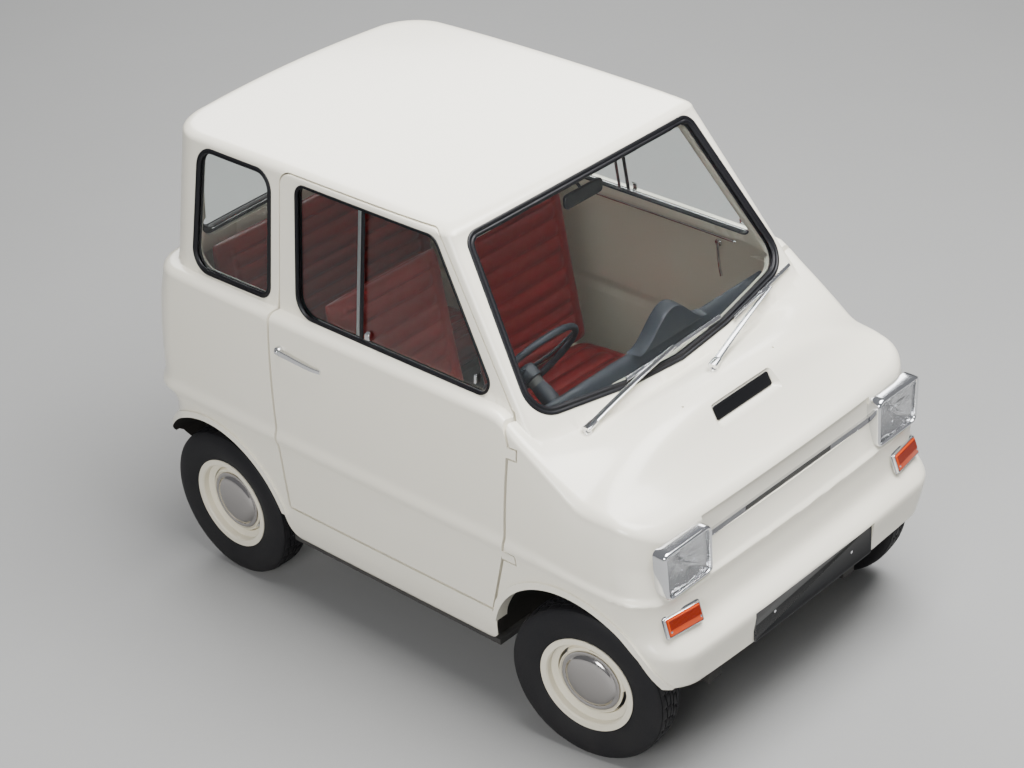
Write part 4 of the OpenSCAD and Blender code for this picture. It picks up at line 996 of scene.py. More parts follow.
def make_door(side):
    door = combine(copy_of(skin), [door_prism(-GAP, -GAP / 2)], "INTERSECT")
    cuts = [body_solid("door_core", DOOR_WALL, SILL_Z - 60, True),
            prism("glass", hull_outline(DOOR_GLASS, DOOR_SEAL_W), side_place, 400, 700), handle_recess()]
    door = combine(door, cuts, "DIFFERENCE")
    if side < 0:
        door = mirrored_in_place(door)
    follow(door, skin)
    name = "left" if side > 0 else "right"
    finish_piece(door, f"{name}_door_skin", f"{name}_door", [GEL, LINING], [f"door_{name}"])
    inner_finish(door, DOOR_LINED_DEPTH)

def mirrored_in_place(obj):
    obj.data.transform(Matrix.Diagonal((-1, 1, 1, 1)))
    obj.data.flip_normals()
    return obj

make_door(1)
make_door(-1)

# %% [markdown]
# ## Rubber seals
# A rubber strip holds each pane: its outer lip lies on the body, a groove in the middle takes a filler strip,
# and a slot grips the glass. One section is swept round each opening. Round the windscreen and the rear
# window the path is found by casting rays on the smooth skin, and on the leaning sides it is worked out from
# the rings, so the strips bend with the body.

# %% Seal paths
def resample(outline, pitch):
    """Points at an even pitch along a closed outline."""
    points = [Vector((u, v)) for u, v in outline]
    points.append(points[0])
    total = sum((b - a).length for a, b in zip(points, points[1:]))
    count = int(total / pitch)
    out, k, walked = [], 0, 0.0
    for i in range(count):
        target = total * i / count
        while walked + (points[k + 1] - points[k]).length < target:
            walked += (points[k + 1] - points[k]).length
            k += 1
        length = (points[k + 1] - points[k]).length
        out.append(points[k].lerp(points[k + 1], (target - walked) / max(length, 1e-9)))
    return out

def strip_path(outline, place, pitch=9, start=120):
    """Frames along an outline that lies on the skin: the spot in millimetres, outwards across, and up."""
    flat = resample(outline, pitch)
    cast = Vector(place(0, 0, -1)) - Vector(place(0, 0, 0))
    frames, spots = [], []
    for p in flat:
        origin = Vector(place(p.x, p.y, start))
        hit = skin_tree.ray_cast(origin * MM, cast)
        spots.append((hit[0] / MM, hit[1]))
    n = len(spots)
    for i, (spot, normal) in enumerate(spots):
        run = (spots[(i + 1) % n][0] - spots[i - 1][0]).normalized()
        up = (normal - normal.dot(run) * run).normalized()
        up = up.lerp(-cast.normalized(), 0.35).normalized()
        out = run.cross(up).normalized()
        middle = sum((s[0] for s in spots), Vector()) / n
        if out.dot(spot - middle) < 0:
            out = -out
        frames.append((spot, out, up))
    return frames

def side_path(outline, pitch=9):
    """The same for the leaning side of the cabin, where the place on the skin can be worked out."""
    lean = math.radians(CABIN_LEAN)
    frames, spots = [], []
    for p in resample(outline, pitch):
        ring = cabin_ring(p.y, 0, 0, FINE)
        ring = [q for q in ring[:len(ring) // 2] if q[0] > 400]
        for a, b in zip(ring, ring[1:]):
            if (a[1] - p.x) * (b[1] - p.x) <= 0 and a[1] != b[1]:
                x = mix(a[0], b[0], (p.x - a[1]) / (b[1] - a[1]))
        spots.append(Vector((x, p.x, p.y)))
    middle = sum(spots, Vector()) / len(spots)
    up = Vector((math.cos(lean), 0, math.sin(lean)))
    for i, spot in enumerate(spots):
        run = (spots[(i + 1) % len(spots)] - spots[i - 1]).normalized()
        out = run.cross(up).normalized()
        if out.dot(spot - middle) < 0:
            out = -out
        frames.append((spot, out, up))
    return frames

# %% Seal section
SLOT_X = -16
WIDE_SEAL = [(-0.3, -21.5), (-0.3, 1.2), (-1.2, 2.6), (-3, 3.5), (-6, 3.9), (-8.6, 3.4), (-9.4, 2), (-10.6, 1.5),
             (-12.6, 1.5), (-13.6, 2.2), (-14.6, 3.4), (-17, 3.6), (-19.2, 2.9), (-20.2, 1.6), (-21, 1.6),
             (-22.6, 0.4), (-24, -2), (-24, -3.9), (SLOT_X, -3.9), (SLOT_X, -9.1), (-24, -9.1), (-24, -14),
             (-20, -21.5)]

def seal_section(width, grip):
    """The same strip in another width; grip is how far the glass reaches in from the inner edge."""
    k = width / SCREEN_SEAL_W
    return [(-width + grip if x == SLOT_X else x * k, z) for x, z in WIDE_SEAL]

def seal(name, outline, place, width, grip):
    path = strip_path(outline, place) if place else side_path(outline)
    strip = swept(name, seal_section(width, grip), path)
    return shade(strip, 50)

def joined(name, pieces):
    """One mesh of several."""
    work = bmesh.new()
    for piece in pieces:
        work.from_mesh(piece.data)
    mesh = bpy.data.meshes.new(name)
    work.to_mesh(mesh)
    work.free()
    obj = bpy.data.objects.new(name, mesh)
    bpy.context.scene.collection.objects.link(obj)
    for piece in pieces:
        bpy.data.objects.remove(piece)
    return obj

# %% Rubber strips
def rubber_strips():
    quarter = seal("quarter", hull_outline(QUARTER, SEAL_W), None, SEAL_W, 8)
    strips = [seal("screen", hull_outline(SCREEN_CORNERS), on_screen, SCREEN_SEAL_W, 8),
              seal("tail", hull_outline(TAIL_CORNERS), on_tail, SCREEN_SEAL_W, 8),
              quarter, mirrored(quarter)]
    seals = shade(joined("seals", strips), 50)
    finish_piece(seals, "window_rubber", "car_body", RUBBER, ["window_seals"])
    left = seal("door", hull_outline(DOOR_GLASS, DOOR_SEAL_W), None, DOOR_SEAL_W, 4.5)
    right = mirrored(left)
    shade(left, 50)
    shade(right, 50)
    finish_piece(left, "left_door_rubber", "left_door", RUBBER, ["door_seal_left"])
    finish_piece(right, "right_door_rubber", "right_door", RUBBER, ["door_seal_right"])

rubber_strips()

# %% [markdown]
# ## Lamps
# The headlamps have a bright bezel with rounded corners, a bowl-shaped reflector and a glass moulded with
# upright ribs that spread the beam. The bezel and the bowl are rings of the lamp's outline, and every ring
# has its points at the same angles, so rings of other sizes match. The ribs are modelled, not painted, since
# they catch the light one by one.

# %% Rings of the lamp
def even_outline(grow, count=96):
    """The lamp's outline at one angle step, so that rings of other sizes match point for point."""
    outline = hull_outline(LAMP_CORNERS, grow, 96)
    line = []
    for i in range(count):
        a = 2 * math.pi * i / count
        direction = Vector((math.cos(a), math.sin(a)))
        best = None
        for p, q in zip(outline, outline[1:] + outline[:1]):
            p, q = Vector(p), Vector(q)
            edge = q - p
            det = direction.x * -edge.y + direction.y * edge.x
            if abs(det) < 1e-9:
                continue
            t = (p.x * -edge.y + p.y * edge.x) / det
            s = (direction.x * p.y - direction.y * p.x) / det
            if t > 0 and -1e-6 <= s <= 1 + 1e-6:
                best = t
        line.append((direction.x * best, direction.y * best))
    return line

def lamp_line(grow, w, count=96):
    return [(LAMP_X + u, LAMP_Y - w, LAMP_Z + v) for u, v in even_outline(grow, count)]

BEZEL_LEVELS = [(0, 0), (0, 33), (-0.6, 36.5), (-2.4, 39.6), (-5, 41.6), (-7.6, 41.4), (-9.4, 39.4), (-10.6, 36.2),
                (-11, 33), (-11.4, 25), (-12.4, 12), (-12.4, 0)]
BOWL_LEVELS = [(1.0, 27, 0), (0.93, 20, 1.6), (0.8, 14.5, 3.6), (0.6, 10, 4.2), (0.4, 7.6, 3), (0.2, 6.2, 1),
               (0.08, 6, 0), (0.08, 1.5, 0), (0.6, 2, 0), (0.97, 16, 0)]

def star_line(share, w, lobe, count=96):
    """A ring of the bowl; four lobes give the crossed facets that show through the glass."""
    outline = even_outline(-11.6, count)
    return [(LAMP_X + u * share, LAMP_Y - w - lobe * math.cos(8 * math.pi * i / count) ** 3, LAMP_Z + v * share)
            for i, (u, v) in enumerate(outline)]

def pair(obj):
    return joined(obj.name, [obj, mirrored(obj)])

# %% Ribbed glass
def ribbed_pane(x0, x1, z0, z1):
    """A bowed pane with upright ribs on its face and a plain back."""
    nx, nz = 170, 18
    points, faces = [], []
    for layer in (0, 1):
        for j in range(nz + 1):
            for i in range(nx + 1):
                x, z = mix(x0, x1, i / nx), mix(z0, z1, j / nz)
                bow = 3.4 * (1 - (x / 100) ** 2) * (1 - (z / 90) ** 2)
                rib = 0.7 * abs(math.sin(math.pi * x / 9.6)) if abs(z) < 52 else 0.7
                w = 33.4 + bow + rib if layer else 30.4 + bow
                points.append((LAMP_X + x, LAMP_Y - w, LAMP_Z + z))
    n = nx + 1
    size = n * (nz + 1)
    for j in range(nz):
        for i in range(nx):
            a = j * n + i
            faces.append((a, a + 1, a + 1 + n, a + n))
            faces.append((a + size, a + n + size, a + 1 + n + size, a + 1 + size))
    rim = [i for i in range(n)] + [j * n + nx for j in range(1, nz + 1)]
    rim += [nz * n + i for i in range(nx - 1, -1, -1)] + [j * n for j in range(nz - 1, 0, -1)]
    faces += [(a, a + size, b + size, b) for a, b in zip(rim, rim[1:] + rim[:1])]
    return outward(mesh_object("pane", points, faces))

# %% Headlamps
def headlamps():
    bezel = shade(pair(ring_strip("bezel", [lamp_line(g, w) for g, w in BEZEL_LEVELS])), 40)
    finish_piece(bezel, "headlamp_bezels", "car_body", CHROME)
    bowl = shade(pair(ring_strip("bowl", [star_line(*level) for level in BOWL_LEVELS])), 50)
    finish_piece(bowl, "headlamp_reflectors", "car_body", REFLECTOR)
    lens = ribbed_pane(-84, 84, -64, 64)
    outline = [[LAMP_X + u, LAMP_Z + v] for u, v in hull_outline(LAMP_CORNERS, -11.4, 64)]
    lens = combine(lens, [prism("edge", outline, front_place, 930, 960)], "INTERSECT")
    lens = shade(pair(lens), 40)
    finish_piece(lens, "headlamp_glasses", "car_body", LAMP_GLASS, ["headlamp_lenses"])
    bulb = lathed("bulb", [(0, 0), (0, 9), (3, 9.5), (9, 9), (13, 6.5), (15, 3), (15.4, 0)], 40, False)
    bulb.data.transform(Matrix.Translation((0.454, -0.9195, 0.674)) @ Matrix.Rotation(math.radians(-90), 4, "Z"))
    bulb = shade(pair(bulb), 40)
    finish_piece(bulb, "headlamp_bulbs", "car_body", REFLECTOR)

headlamps()

# %% [markdown]
# ## Indicators and tail lamps
# An indicator is an amber lens with upright ribs in a bright frame, held by two screws; the ribs are a darker
# amber, a painted shade of the ribbed half. A tail lamp is a red and an amber block on a bright case. They are
# rounded blocks, made of one outline at several heights, so that every edge has the small round of a moulding.

# %% Indicators
def indicators():
    place = INDICATOR_PLACE
    frame_levels = [(0, -5.9), (0, 7), (-0.8, 9), (-2.2, 9.9), (-3.6, 9.4), (-4.5, 7.6), (-4.8, 5), (-4.8, 1),
                    (-12, 0.6), (-12, 0.2)]
    rim = rounded_block("rim", 121.6, 55.6, frame_levels)
    rim.data.transform(place)
    finish_piece(shade(pair(rim), 40), "indicator_frames", "car_body", CHROME, ["lamp_bezels"])
    lens = rounded_block("lens", 111.4, 45.4, [(0, 1.2), (0, 10.4), (-1, 12.2), (-2.6, 13)], 3)
    ribs = [prism("rib", [[x - 1.15, -5], [x + 1.15, -5], [x + 1.15, 20], [x - 1.15, 20]],
                  lambda u, v, w: (u, v, w), 12.2, 15.2) for x in [-51 + 3.75 * i for i in range(28)]]
    lens.data.transform(place)
    for rib in ribs:
        rib.data.transform(place)
    finish_piece(shade(pair(lens), 30), "indicator_lens", "car_body", AMBER, ["indicator_lenses"])
    # The ribs take the darker amber, a painted shade of the ribbed half of the lens.
    finish_piece(shade(pair(joined("ribs", ribs)), 30), "indicator_ribs", "car_body", SHADED_AMBER)
    heads = []
    for x in (-50.5, 50.5):
        head = lathed("head", [(0, 0), (0, 3.4), (1.0, 3.2), (1.9, 1.8), (2.1, 0)], 20, False)
        spot = Matrix.Translation((x * MM, -0.0105, 0.0126))
        head.data.transform(place @ spot @ Matrix.Rotation(math.radians(-90), 4, "Y"))
        heads.append(head)
    finish_piece(shade(pair(joined("heads", heads)), 40), "indicator_screws", "car_body", CHROME)

indicators()

# %% Tail lamps
def tail_lamps():
    pieces = [rounded_block("base", 75.6, 129.6, [(0, 0.2), (0, 26), (-1.2, 27.6), (-3, 28)], 6)]
    for low, high in ((-61, 18), (21, 61)):
        block = rounded_block("lens", 68, high - low, [(0, 27.5), (0, 33.6), (-1.4, 35.2), (-4, 35.9)], 6)
        block.data.transform(Matrix.Translation((0, (low + high) / 2 * MM, 0)))
        pieces.append(block)
    turn = Matrix.Rotation(math.radians(180), 4, "Z") @ Matrix.Rotation(math.radians(90), 4, "X")
    for piece in pieces:
        piece.data.transform(Matrix.Translation((0.470, 0.954, 0.700)) @ turn)
    finish_piece(shade(pair(pieces[0]), 40), "tail_lamp_cases", "car_body", CHROME)
    finish_piece(shade(pair(pieces[1]), 40), "tail_lamp_red", "car_body", RED, ["tail_lamps"])
    finish_piece(shade(pair(pieces[2]), 40), "tail_lamp_amber", "car_body", AMBER)

tail_lamps()

# %% [markdown]
# ## Trim on the nose
# A bright channel runs along the foot of the sunk panel between the lamps. It holds a ribbed grey bar at each
# end and a plain black one in the middle. The plates are blank black pressings with a raised rim, and a plain
# dark plate is set in the bonnet. Bars and channel are prisms over their section, as if drawn through a die.

# %% Nose strip
STRIP_Z = 676

def strip_place(u, v, w):
    return (w, LAMP_Y - u, STRIP_Z + v)

def inlay(x0, x1, ridge, count):
    """A bar in the strip's channel, with ridges along its face."""
    ridges = [(7.4 + ridge * (k % 2), 1.6 + 14.8 * k / count) for k in range(count + 1)]
    return prism("inlay", [(5.0, 1.6)] + ridges + [(5.0, 16.4)], strip_place, x0, x1)

def nose_strip():
    section = [(0, 0.3), (7.6, 0.1), (8.7, 0.3), (8.8, 0.9), (8.2, 1.4), (6, 1.5), (6, 16.5), (8.2, 16.6),
               (8.8, 17.1), (8.7, 17.7), (7.6, 17.9), (0, 17.7)]
    strip = shade(prism("strip", section, strip_place, -358.6, 358.6), 40)
    finish_piece(strip, "bright_nose_strip", "car_body", CHROME, ["nose_strip"])
    bars = joined("bars", [inlay(-356, -184, 1.0, 12), inlay(184, 356, 1.0, 12)])
    finish_piece(bars, "ribbed_grey_bars", "car_body", GUNMETAL)
    finish_piece(inlay(-183, 183, 0.3, 4), "bare_black_bar", "car_body", ENAMEL)

nose_strip()

# %% Plates
def plate(y, z, facing):
    """A blank pressing at y and z, and the two screws that hold it; facing is -1 for the nose."""
    levels = [(0, 0), (0, 2.2), (-0.5, 2.9), (-3.5, 2.9), (-4.6, 2.0), (-8, 1.9)]
    made = rounded_block("plate", 520, 99.6, levels, 8)
    turn = Matrix.Rotation(math.radians(90), 4, "X")
    if facing > 0:
        turn = Matrix.Rotation(math.radians(180), 4, "Z") @ turn
    made.data.transform(Matrix.Translation((0, y * MM, z * MM)) @ turn)
    screws = []
    for s in (-1, 1):
        head = lathed("screw", [(0, 0), (0, 5), (1.0, 4.6), (1.8, 2.6), (2.0, 0)], 20, False)
        spot = Matrix.Translation((s * 0.17, y * MM + facing * 0.0009, z * MM))
        head.data.transform(spot @ Matrix.Rotation(math.radians(90 * facing), 4, "Z"))
        screws.append(head)
    return made, screws

def plates():
    front, front_screws = plate(-1001, 385, -1)
    rear, rear_screws = plate(980, 700, 1)
    both, screws = shade(joined("plates", [front, rear]), 40), shade(joined("screws", front_screws + rear_screws), 40)
    finish_piece(both, "blank_plates", "car_body", ENAMEL, ["number_plates"])
    finish_piece(screws, "plate_screws", "car_body", CHROME)

def bonnet_plate():
    made = rounded_block("bonnet", 231.6, 39.6, [(0, -5.9), (0, -3.2), (-1.2, -2.2), (-3, -2)], 6)
    made.data.transform(BONNET_SEAT)
    finish_piece(shade(made, 40), "bonnet_panel", "car_body", ENAMEL, ["bonnet_plate"])

plates()
bonnet_plate()

# %% [markdown]
# ## Bars and rods
# Wipers, handles, rails and window bars are bent rods and flat bars. Two helpers make them from a few points:
# one sweeps a circle, the other a rounded oblong whose width can change along the bar. A smooth curve through
# the points gives the bends.

# %% Bars and rods
def tube(name, points, radius, steps=12):
    """A round rod through points in millimetres."""
    path = []
    spots = [Vector(p) for p in points]
    side = None
    for i, spot in enumerate(spots):
        run = (spots[min(i + 1, len(spots) - 1)] - spots[max(i - 1, 0)]).normalized()
        if side is None:
            side = run.orthogonal().normalized()
        side = (side - side.dot(run) * run).normalized()
        path.append((spot, side, run.cross(side)))
    return swept(name, circle_points(0, 0, radius, steps), path, closed=False)

def flat_bar(name, spots, sizes, across):
    """A bar with a rounded oblong section; sizes are half width and half thickness at each spot."""
    rings = []
    for i, (spot, (a, b)) in enumerate(zip(spots, sizes)):
        run = (spots[min(i + 1, len(spots) - 1)] - spots[max(i - 1, 0)]).normalized()
        side = (across - across.dot(run) * run).normalized()
        up = run.cross(side)
        ring = []
        for k in range(16):
            t = 2 * math.pi * (k + 0.5) / 16
            c, s = math.cos(t), math.sin(t)
            ring.append(tuple(spot + side * a * math.copysign(abs(c) ** 0.5, c)
                              + up * b * math.copysign(abs(s) ** 0.5, s)))
        rings.append(ring)
    return ring_strip(name, rings, False)

def smooth_points(points, per=8):
    return [smooth_row(points, i / per, False) for i in range((len(points) - 1) * per + 1)]

# %% [markdown]
# ## Wipers
# A wiper has a domed pivot in the scuttle, an arm that tapers and arches over the glass, and a rubber blade
# held by a bright bridge with a clip in the middle. The glass is bowed, so each point of the blade is set
# above the bow at its place, and the blade lies on the pane along its whole length.

# %% Wipers
WIPERS = [((-409, -587), (-18, -523), ((-211, -531), (186, -524))),
          ((-8, -679), (406, -530), ((230, -549), (525, -507)))]
PIVOT_SECTION = [(0, 0), (0, 11.6), (10, 11.6), (14, 10.4), (20, 8), (24, 7.6), (25.6, 6), (25.8, 0)]
BRIDGE_RISE = ((0.18, 0.6), (0.3, 2.6), (0.5, 4.4), (0.7, 2.6), (0.82, 0.6))

def bow_at(x):
    return SCREEN_BOW * (1 - (x / 500) ** 2)

def wiper_arm(pivot, end):
    """The domed pivot, the knuckle on it and the arm, as bright metal pieces."""
    foot = Vector((pivot[0], pivot[1], body_top(*pivot) - 3.7))
    base = lathed("base", PIVOT_SECTION, 32, False)
    base.data.transform(Matrix.Translation(foot * MM) @ Matrix.Rotation(math.radians(-90), 4, "Y"))
    tip = Vector(on_screen(end[0], end[1], bow_at(end[0]) + 14.5))
    start = foot + Vector((0, 0, 20))
    run = (tip - start).normalized()
    across = run.cross(Vector((0, 0, 1))).normalized()
    lift = across.cross(run).normalized()
    knuckle = flat_bar("knuckle", [start - run * 9, start + run * 22, start + run * 34],
                       [(13, 6), (12.6, 5.6), (10.4, 4)], across)
    shares = [0.07 + 0.93 * i / 12 for i in range(13)]
    spots = [start.lerp(tip, t) + lift * 5 * math.sin(math.pi * t) for t in shares]
    widths = [(mix(10, 6.6, i / 12), mix(2.8, 2.2, i / 12)) for i in range(13)]
    return [base, knuckle, flat_bar("arm", spots, widths, across)]

def wiper_blade(first, last):
    """The bright back, bridge and clip of a blade, and its rubber."""
    def over_glass(t, height):
        x, y = mix(first[0], last[0], t), mix(first[1], last[1], t)
        return on_screen(x, y, bow_at(x) + height)
    back = [Vector(over_glass(i / 24, 9.6)) for i in range(25)]
    strip = [Vector(over_glass(i / 24, 7.4)) for i in range(25)]
    arch = [Vector(p) for p in smooth_points([over_glass(t, 10 + rise) for t, rise in BRIDGE_RISE], 5)]
    run = back[-1] - back[0]
    across = run.cross(Vector((0, -math.cos(RAKE), math.sin(RAKE)))).normalized()
    along = run.normalized()
    clip = [arch[len(arch) // 2] + along * reach for reach in (-15, -13, 13, 15)]
    bright = [flat_bar("back", back, [(5.4, 2)] * 25, across),
              flat_bar("bridge", arch, [(3.6, 1.6)] * len(arch), across),
              flat_bar("clip", clip, [(3.6, 1.6), (6, 3.4), (6, 3.4), (3.6, 1.6)], across)]
    return bright, flat_bar("strip", strip, [(1.2, 2.2)] * 25, across)

def wipers():
    bright, rubber = [], []
    for pivot, end, (first, last) in WIPERS:
        metal, strip = wiper_blade(first, last)
        bright += wiper_arm(pivot, end) + metal
        rubber.append(strip)
    finish_piece(shade(joined("wipers", bright), 40), "wiper_arms", "car_body", CHROME, ["wipers"])
    finish_piece(shade(joined("strips", rubber), 40), "wiper_rubbers", "car_body", RUBBER)

wipers()

# %% [markdown]
# ## Door handles and latches
# Outside, a bright pull bar starts at a push button and tapers to a small foot over a shallow recess. Inside, a
# bright rail runs below the window, and a lever hangs from a round pivot. They are one piece for each door,
# because they are one metal and swing together.

# %% Door handles and latches
HANDLE_X = HALF_W - 16
PULL_BAR = [[HANDLE_X + 9, 366, 910], [HANDLE_X + 12, 352, 910], [HANDLE_X + 13, 320, 909],
            [HANDLE_X + 12.4, 270, 905], [HANDLE_X + 9.6, 225, 901], [HANDLE_X + 3, 200, 898]]
PUSH_BUTTON = [(-4, 0), (-4, 12.8), (8, 12.8), (11, 11.6), (12.4, 9), (12.8, 7.8), (14.8, 7.4), (16.4, 5.6), (16.8, 0)]
INNER_RAIL = [[537, 214, 968], [531.5, 190, 970], [531, 0, 971], [531, -200, 971], [531.5, -300, 970],
              [537, -323, 968]]
LATCH_LEVER = [[567, -231, 922], [562, -236, 896], [560, -243, 850], [562, -247, 822]]

def outer_handle():
    bar = [Vector(p) for p in smooth_points(PULL_BAR, 6)]
    last = len(bar) - 1
    sizes = [(mix(11, 6, i / last), mix(3.4, 2.4, i / last)) for i in range(len(bar))]
    rod = flat_bar("bar", bar, sizes, Vector((0, 0, 1)))
    button = lathed("button", PUSH_BUTTON, 40, False)
    button.data.transform(Matrix.Translation((HANDLE_X * MM, 0.363, 0.910)))
    foot = lathed("foot", [(-8, 0), (-8, 5), (2, 4.4), (5, 3.2), (5, 0)], 24, False)
    foot.data.transform(Matrix.Translation((HANDLE_X * MM, 0.205, 0.8985)))
    return [rod, button, foot]

def inner_latch():
    rail = tube("rail", smooth_points(INNER_RAIL, 6), 3.6, 12)
    pivot = lathed("pivot", [(0, 0), (0, 12), (3, 11.6), (5, 9), (5.4, 0)], 32, False)
    pivot.data.transform(Matrix.Translation((0.5715, -0.231, 0.922)) @ Matrix.Rotation(math.radians(180), 4, "Z"))
    return [rail, pivot, tube("lever", smooth_points(LATCH_LEVER, 6), 4.4, 12)]

def handle(side):
    obj = joined("handle", outer_handle() + inner_latch())
    if side < 0:
        mirrored_in_place(obj)
    name = "left" if side > 0 else "right"
    finish_piece(shade(obj, 40), f"{name}_door_handle", f"{name}_door", CHROME,
                 [f"door_fittings_{name}"])

handle(1)
handle(-1)

# %% [markdown]
# ## Tyres, wheels and caps
# The tyres have a plain sidewall with a moulded bead line, and a tread of three ribs parted by grooves with
# cross cuts. The domed caps are pressed over the hubs.

# %% Places of the wheels
STEER, HUB_X, KINGPIN_X, HUB_REACH = 9, 0.533, 0.455, 0.078

def hub_matrix(corner):
    """The place of a wheel; the front ones are turned about their kingpins by the steering angle at rest."""
    side = 1 if corner.endswith("left") else -1
    flip = Matrix.Diagonal((side, 1, 1, 1))
    if corner.startswith("front"):
        turn = Matrix.Rotation(math.radians(STEER), 4, "Z")
        kingpin = Matrix.Translation((side * KINGPIN_X, AXLE_F * MM, TYRE_R * MM))
        return kingpin @ turn @ flip @ Matrix.Translation((HUB_REACH, 0, 0))
    return Matrix.Translation((side * HUB_X, AXLE_R * MM, TYRE_R * MM)) @ flip

def placed(obj, matrix):
    obj.data.transform(matrix)
    if matrix.determinant() < 0:
        obj.data.flip_normals()
    return obj

# %% Tyres
WALL_LINE = [(40, 128), (41, 134), (42, 142), (44, 144.6), (46, 146.5), (47.2, 150), (49.6, 158), (52.6, 168),
             (54.6, 178), (55.4, 186), (55.8, 196)]
SHOULDER_LINE = [(55.2, 205), (53.4, 214), (50.6, 222), (47.6, 227.6), (44.6, 230.6)]
TREAD_LINE = [(43.4, 231.6), (42.6, 227), (41, 227), (40, 233), (34, 235), (27, 236.1), (26.2, 236.2),
              (25.4, 229.6), (22.6, 229.6), (21.8, 236.5), (16, 236.8), (9.6, 236.95), (8.8, 236.95), (8, 229.8),
              (5.2, 229.8), (4.4, 237), (0, 237)]
INNER_LINE = [(26, 131), (30, 140), (42, 160), (46, 180), (42, 196), (30, 213), (14, 216)]

def tyre_point(x, r, k, steps):
    """A point of the section at step k; every sixth step has a cross cut, and two grooves run in waves."""
    a = 2 * math.pi * k / steps
    if r > 233.5 and 9 < abs(x) < 43 and k % 6 == (0 if x > 0 else 3):
        r -= 4.2
    elif r > 236.5 and abs(x) < 5 and k % 6 == 1:
        r -= 3.0
    if 229 < r and 20 < abs(x) < 28:
        x += 1.2 * math.sin(a * 36) * (1 if x > 0 else -1)
    return (x, r * math.cos(a), r * math.sin(a))

def tyre_mesh(steps=216):
    right = WALL_LINE + SHOULDER_LINE + TREAD_LINE
    outer = right + [(-x, r) for x, r in right[-2::-1]]
    section = outer + [(-x, r) for x, r in INNER_LINE] + [(0, 216.5)] + INNER_LINE[::-1]
    rings = [[tyre_point(x, r, k, steps) for x, r in section] for k in range(steps)]
    return shade(ring_strip("tyre", rings), 35)

# %% Caps and wheels
CAP_SECTION = [(20.4, 0), (20.4, 90), (21.6, 91.6), (23.4, 91.8), (25.2, 90.6), (26.2, 88), (26.2, 84.6),
               (25.4, 81.6), (25.0, 79.4), (25.8, 77.6), (28.0, 75.2), (30.2, 71.4), (32.2, 65), (33.6, 56),
               (34.9, 44), (35.8, 30), (36.4, 15), (36.6, 0)]

def wheels():
    first = tyre_mesh()
    cap = shade(lathed("cap", CAP_SECTION, 96, False), 26)
    for corner in CORNERS:
        body, place = f"{corner}_wheel", hub_matrix(corner)
        finish_piece(placed(copy_of(first), place), f"{corner}_treaded_tyre", body, TYRE, [f"tyre_{corner}"])
        finish_piece(placed(copy_of(cap), place), f"{corner}_domed_cap", body, DULL,
                     [f"hubcap_{corner}"])
    bpy.data.objects.remove(first)
    bpy.data.objects.remove(cap)

wheels()

# %% [markdown]
# ## Window dividers
# The front half of each door window slides. Its edge bar and a dark fixed bar stand in the opening, with a
# small catch at the foot and a bright strip along the lower edge of the glass.

# %% Dividers
def on_pane(y, z, out):
    lean = math.radians(CABIN_LEAN)
    return Vector((CABIN_W - (z - CABIN_BASE) * math.tan(lean) + out * math.cos(lean), y, z + out * math.sin(lean)))

def divider(side):
    along = Vector((0, 1, 0))
    name = "left" if side > 0 else "right"
    for y, w, t, out, label, material, slot in (
            (112, 5.5, 2.0, -15.6, "sliding_edge", SATIN, "bright_chrome"),
            (88, 6.0, 2.4, -2.4, "fixed_bar", RUBBER, "black_rubber")):
        spots = [on_pane(y, mix(1014, 1372, i / 8), out) for i in range(9)]
        bar = flat_bar("bar", spots, [(w, t)] * 9, along)
        if side < 0:
            mirrored_in_place(bar)
        finish_piece(shade(bar, 40), f"{name}_window_{label}", f"{name}_door", material)
    lower_edge = sorted((p.x, p.y) for p in resample(hull_outline(DOOR_GLASS, 0.6), 12)
                        if p.x < 262 and p.y < 1120 and (p.y < 1030 or p.x > 250))
    spots = [on_pane(y, z, -6.6) for y, z in lower_edge]
    rail = flat_bar("rail", spots, [(2.2, 1.6)] * len(spots), Vector((0, 0, 1)))
    spots = [on_pane(62, z, out) for z, out in ((1016, -4), (1022, 1.5), (1036, 1.5), (1042, -4))]
    catch = flat_bar("catch", spots, [(6, 2), (8, 3), (8, 3), (6, 2)], along)
    spots = [on_pane(-333, z, out) for z, out in ((1026, -3.4), (1028, -1.4), (1050, -1.4), (1052, -3.4))]
    lug = flat_bar("lug", spots, [(3, 1), (4, 1.6), (4, 1.6), (3, 1)], along)
    bright = joined("bright", [rail, catch, lug])
    if side < 0:
        mirrored_in_place(bright)
    finish_piece(shade(bright, 40), f"{name}_window_trim", f"{name}_door", CHROME)

divider(1)
divider(-1)

# %% [markdown]
# ## Seats
# Each cushion and back is a crowned pad: thick in the middle and drawn in at the piped seam round its edge.
# The middle field has pleats across it, sewn down in rows, with a plain border. The pads are made as closed
# grids whose points are moved like clay: crown, pleats, border seam and a few soft folds near the corners.

# %% Pads
def folds(u, v, seed):
    return (math.sin(7.1 * u + 3.3 * v + seed) * math.sin(5.3 * v - 2.1 * u + 1.7 * seed)
            + 0.5 * math.sin(13.7 * u - 9.1 * v + 2.3 * seed))

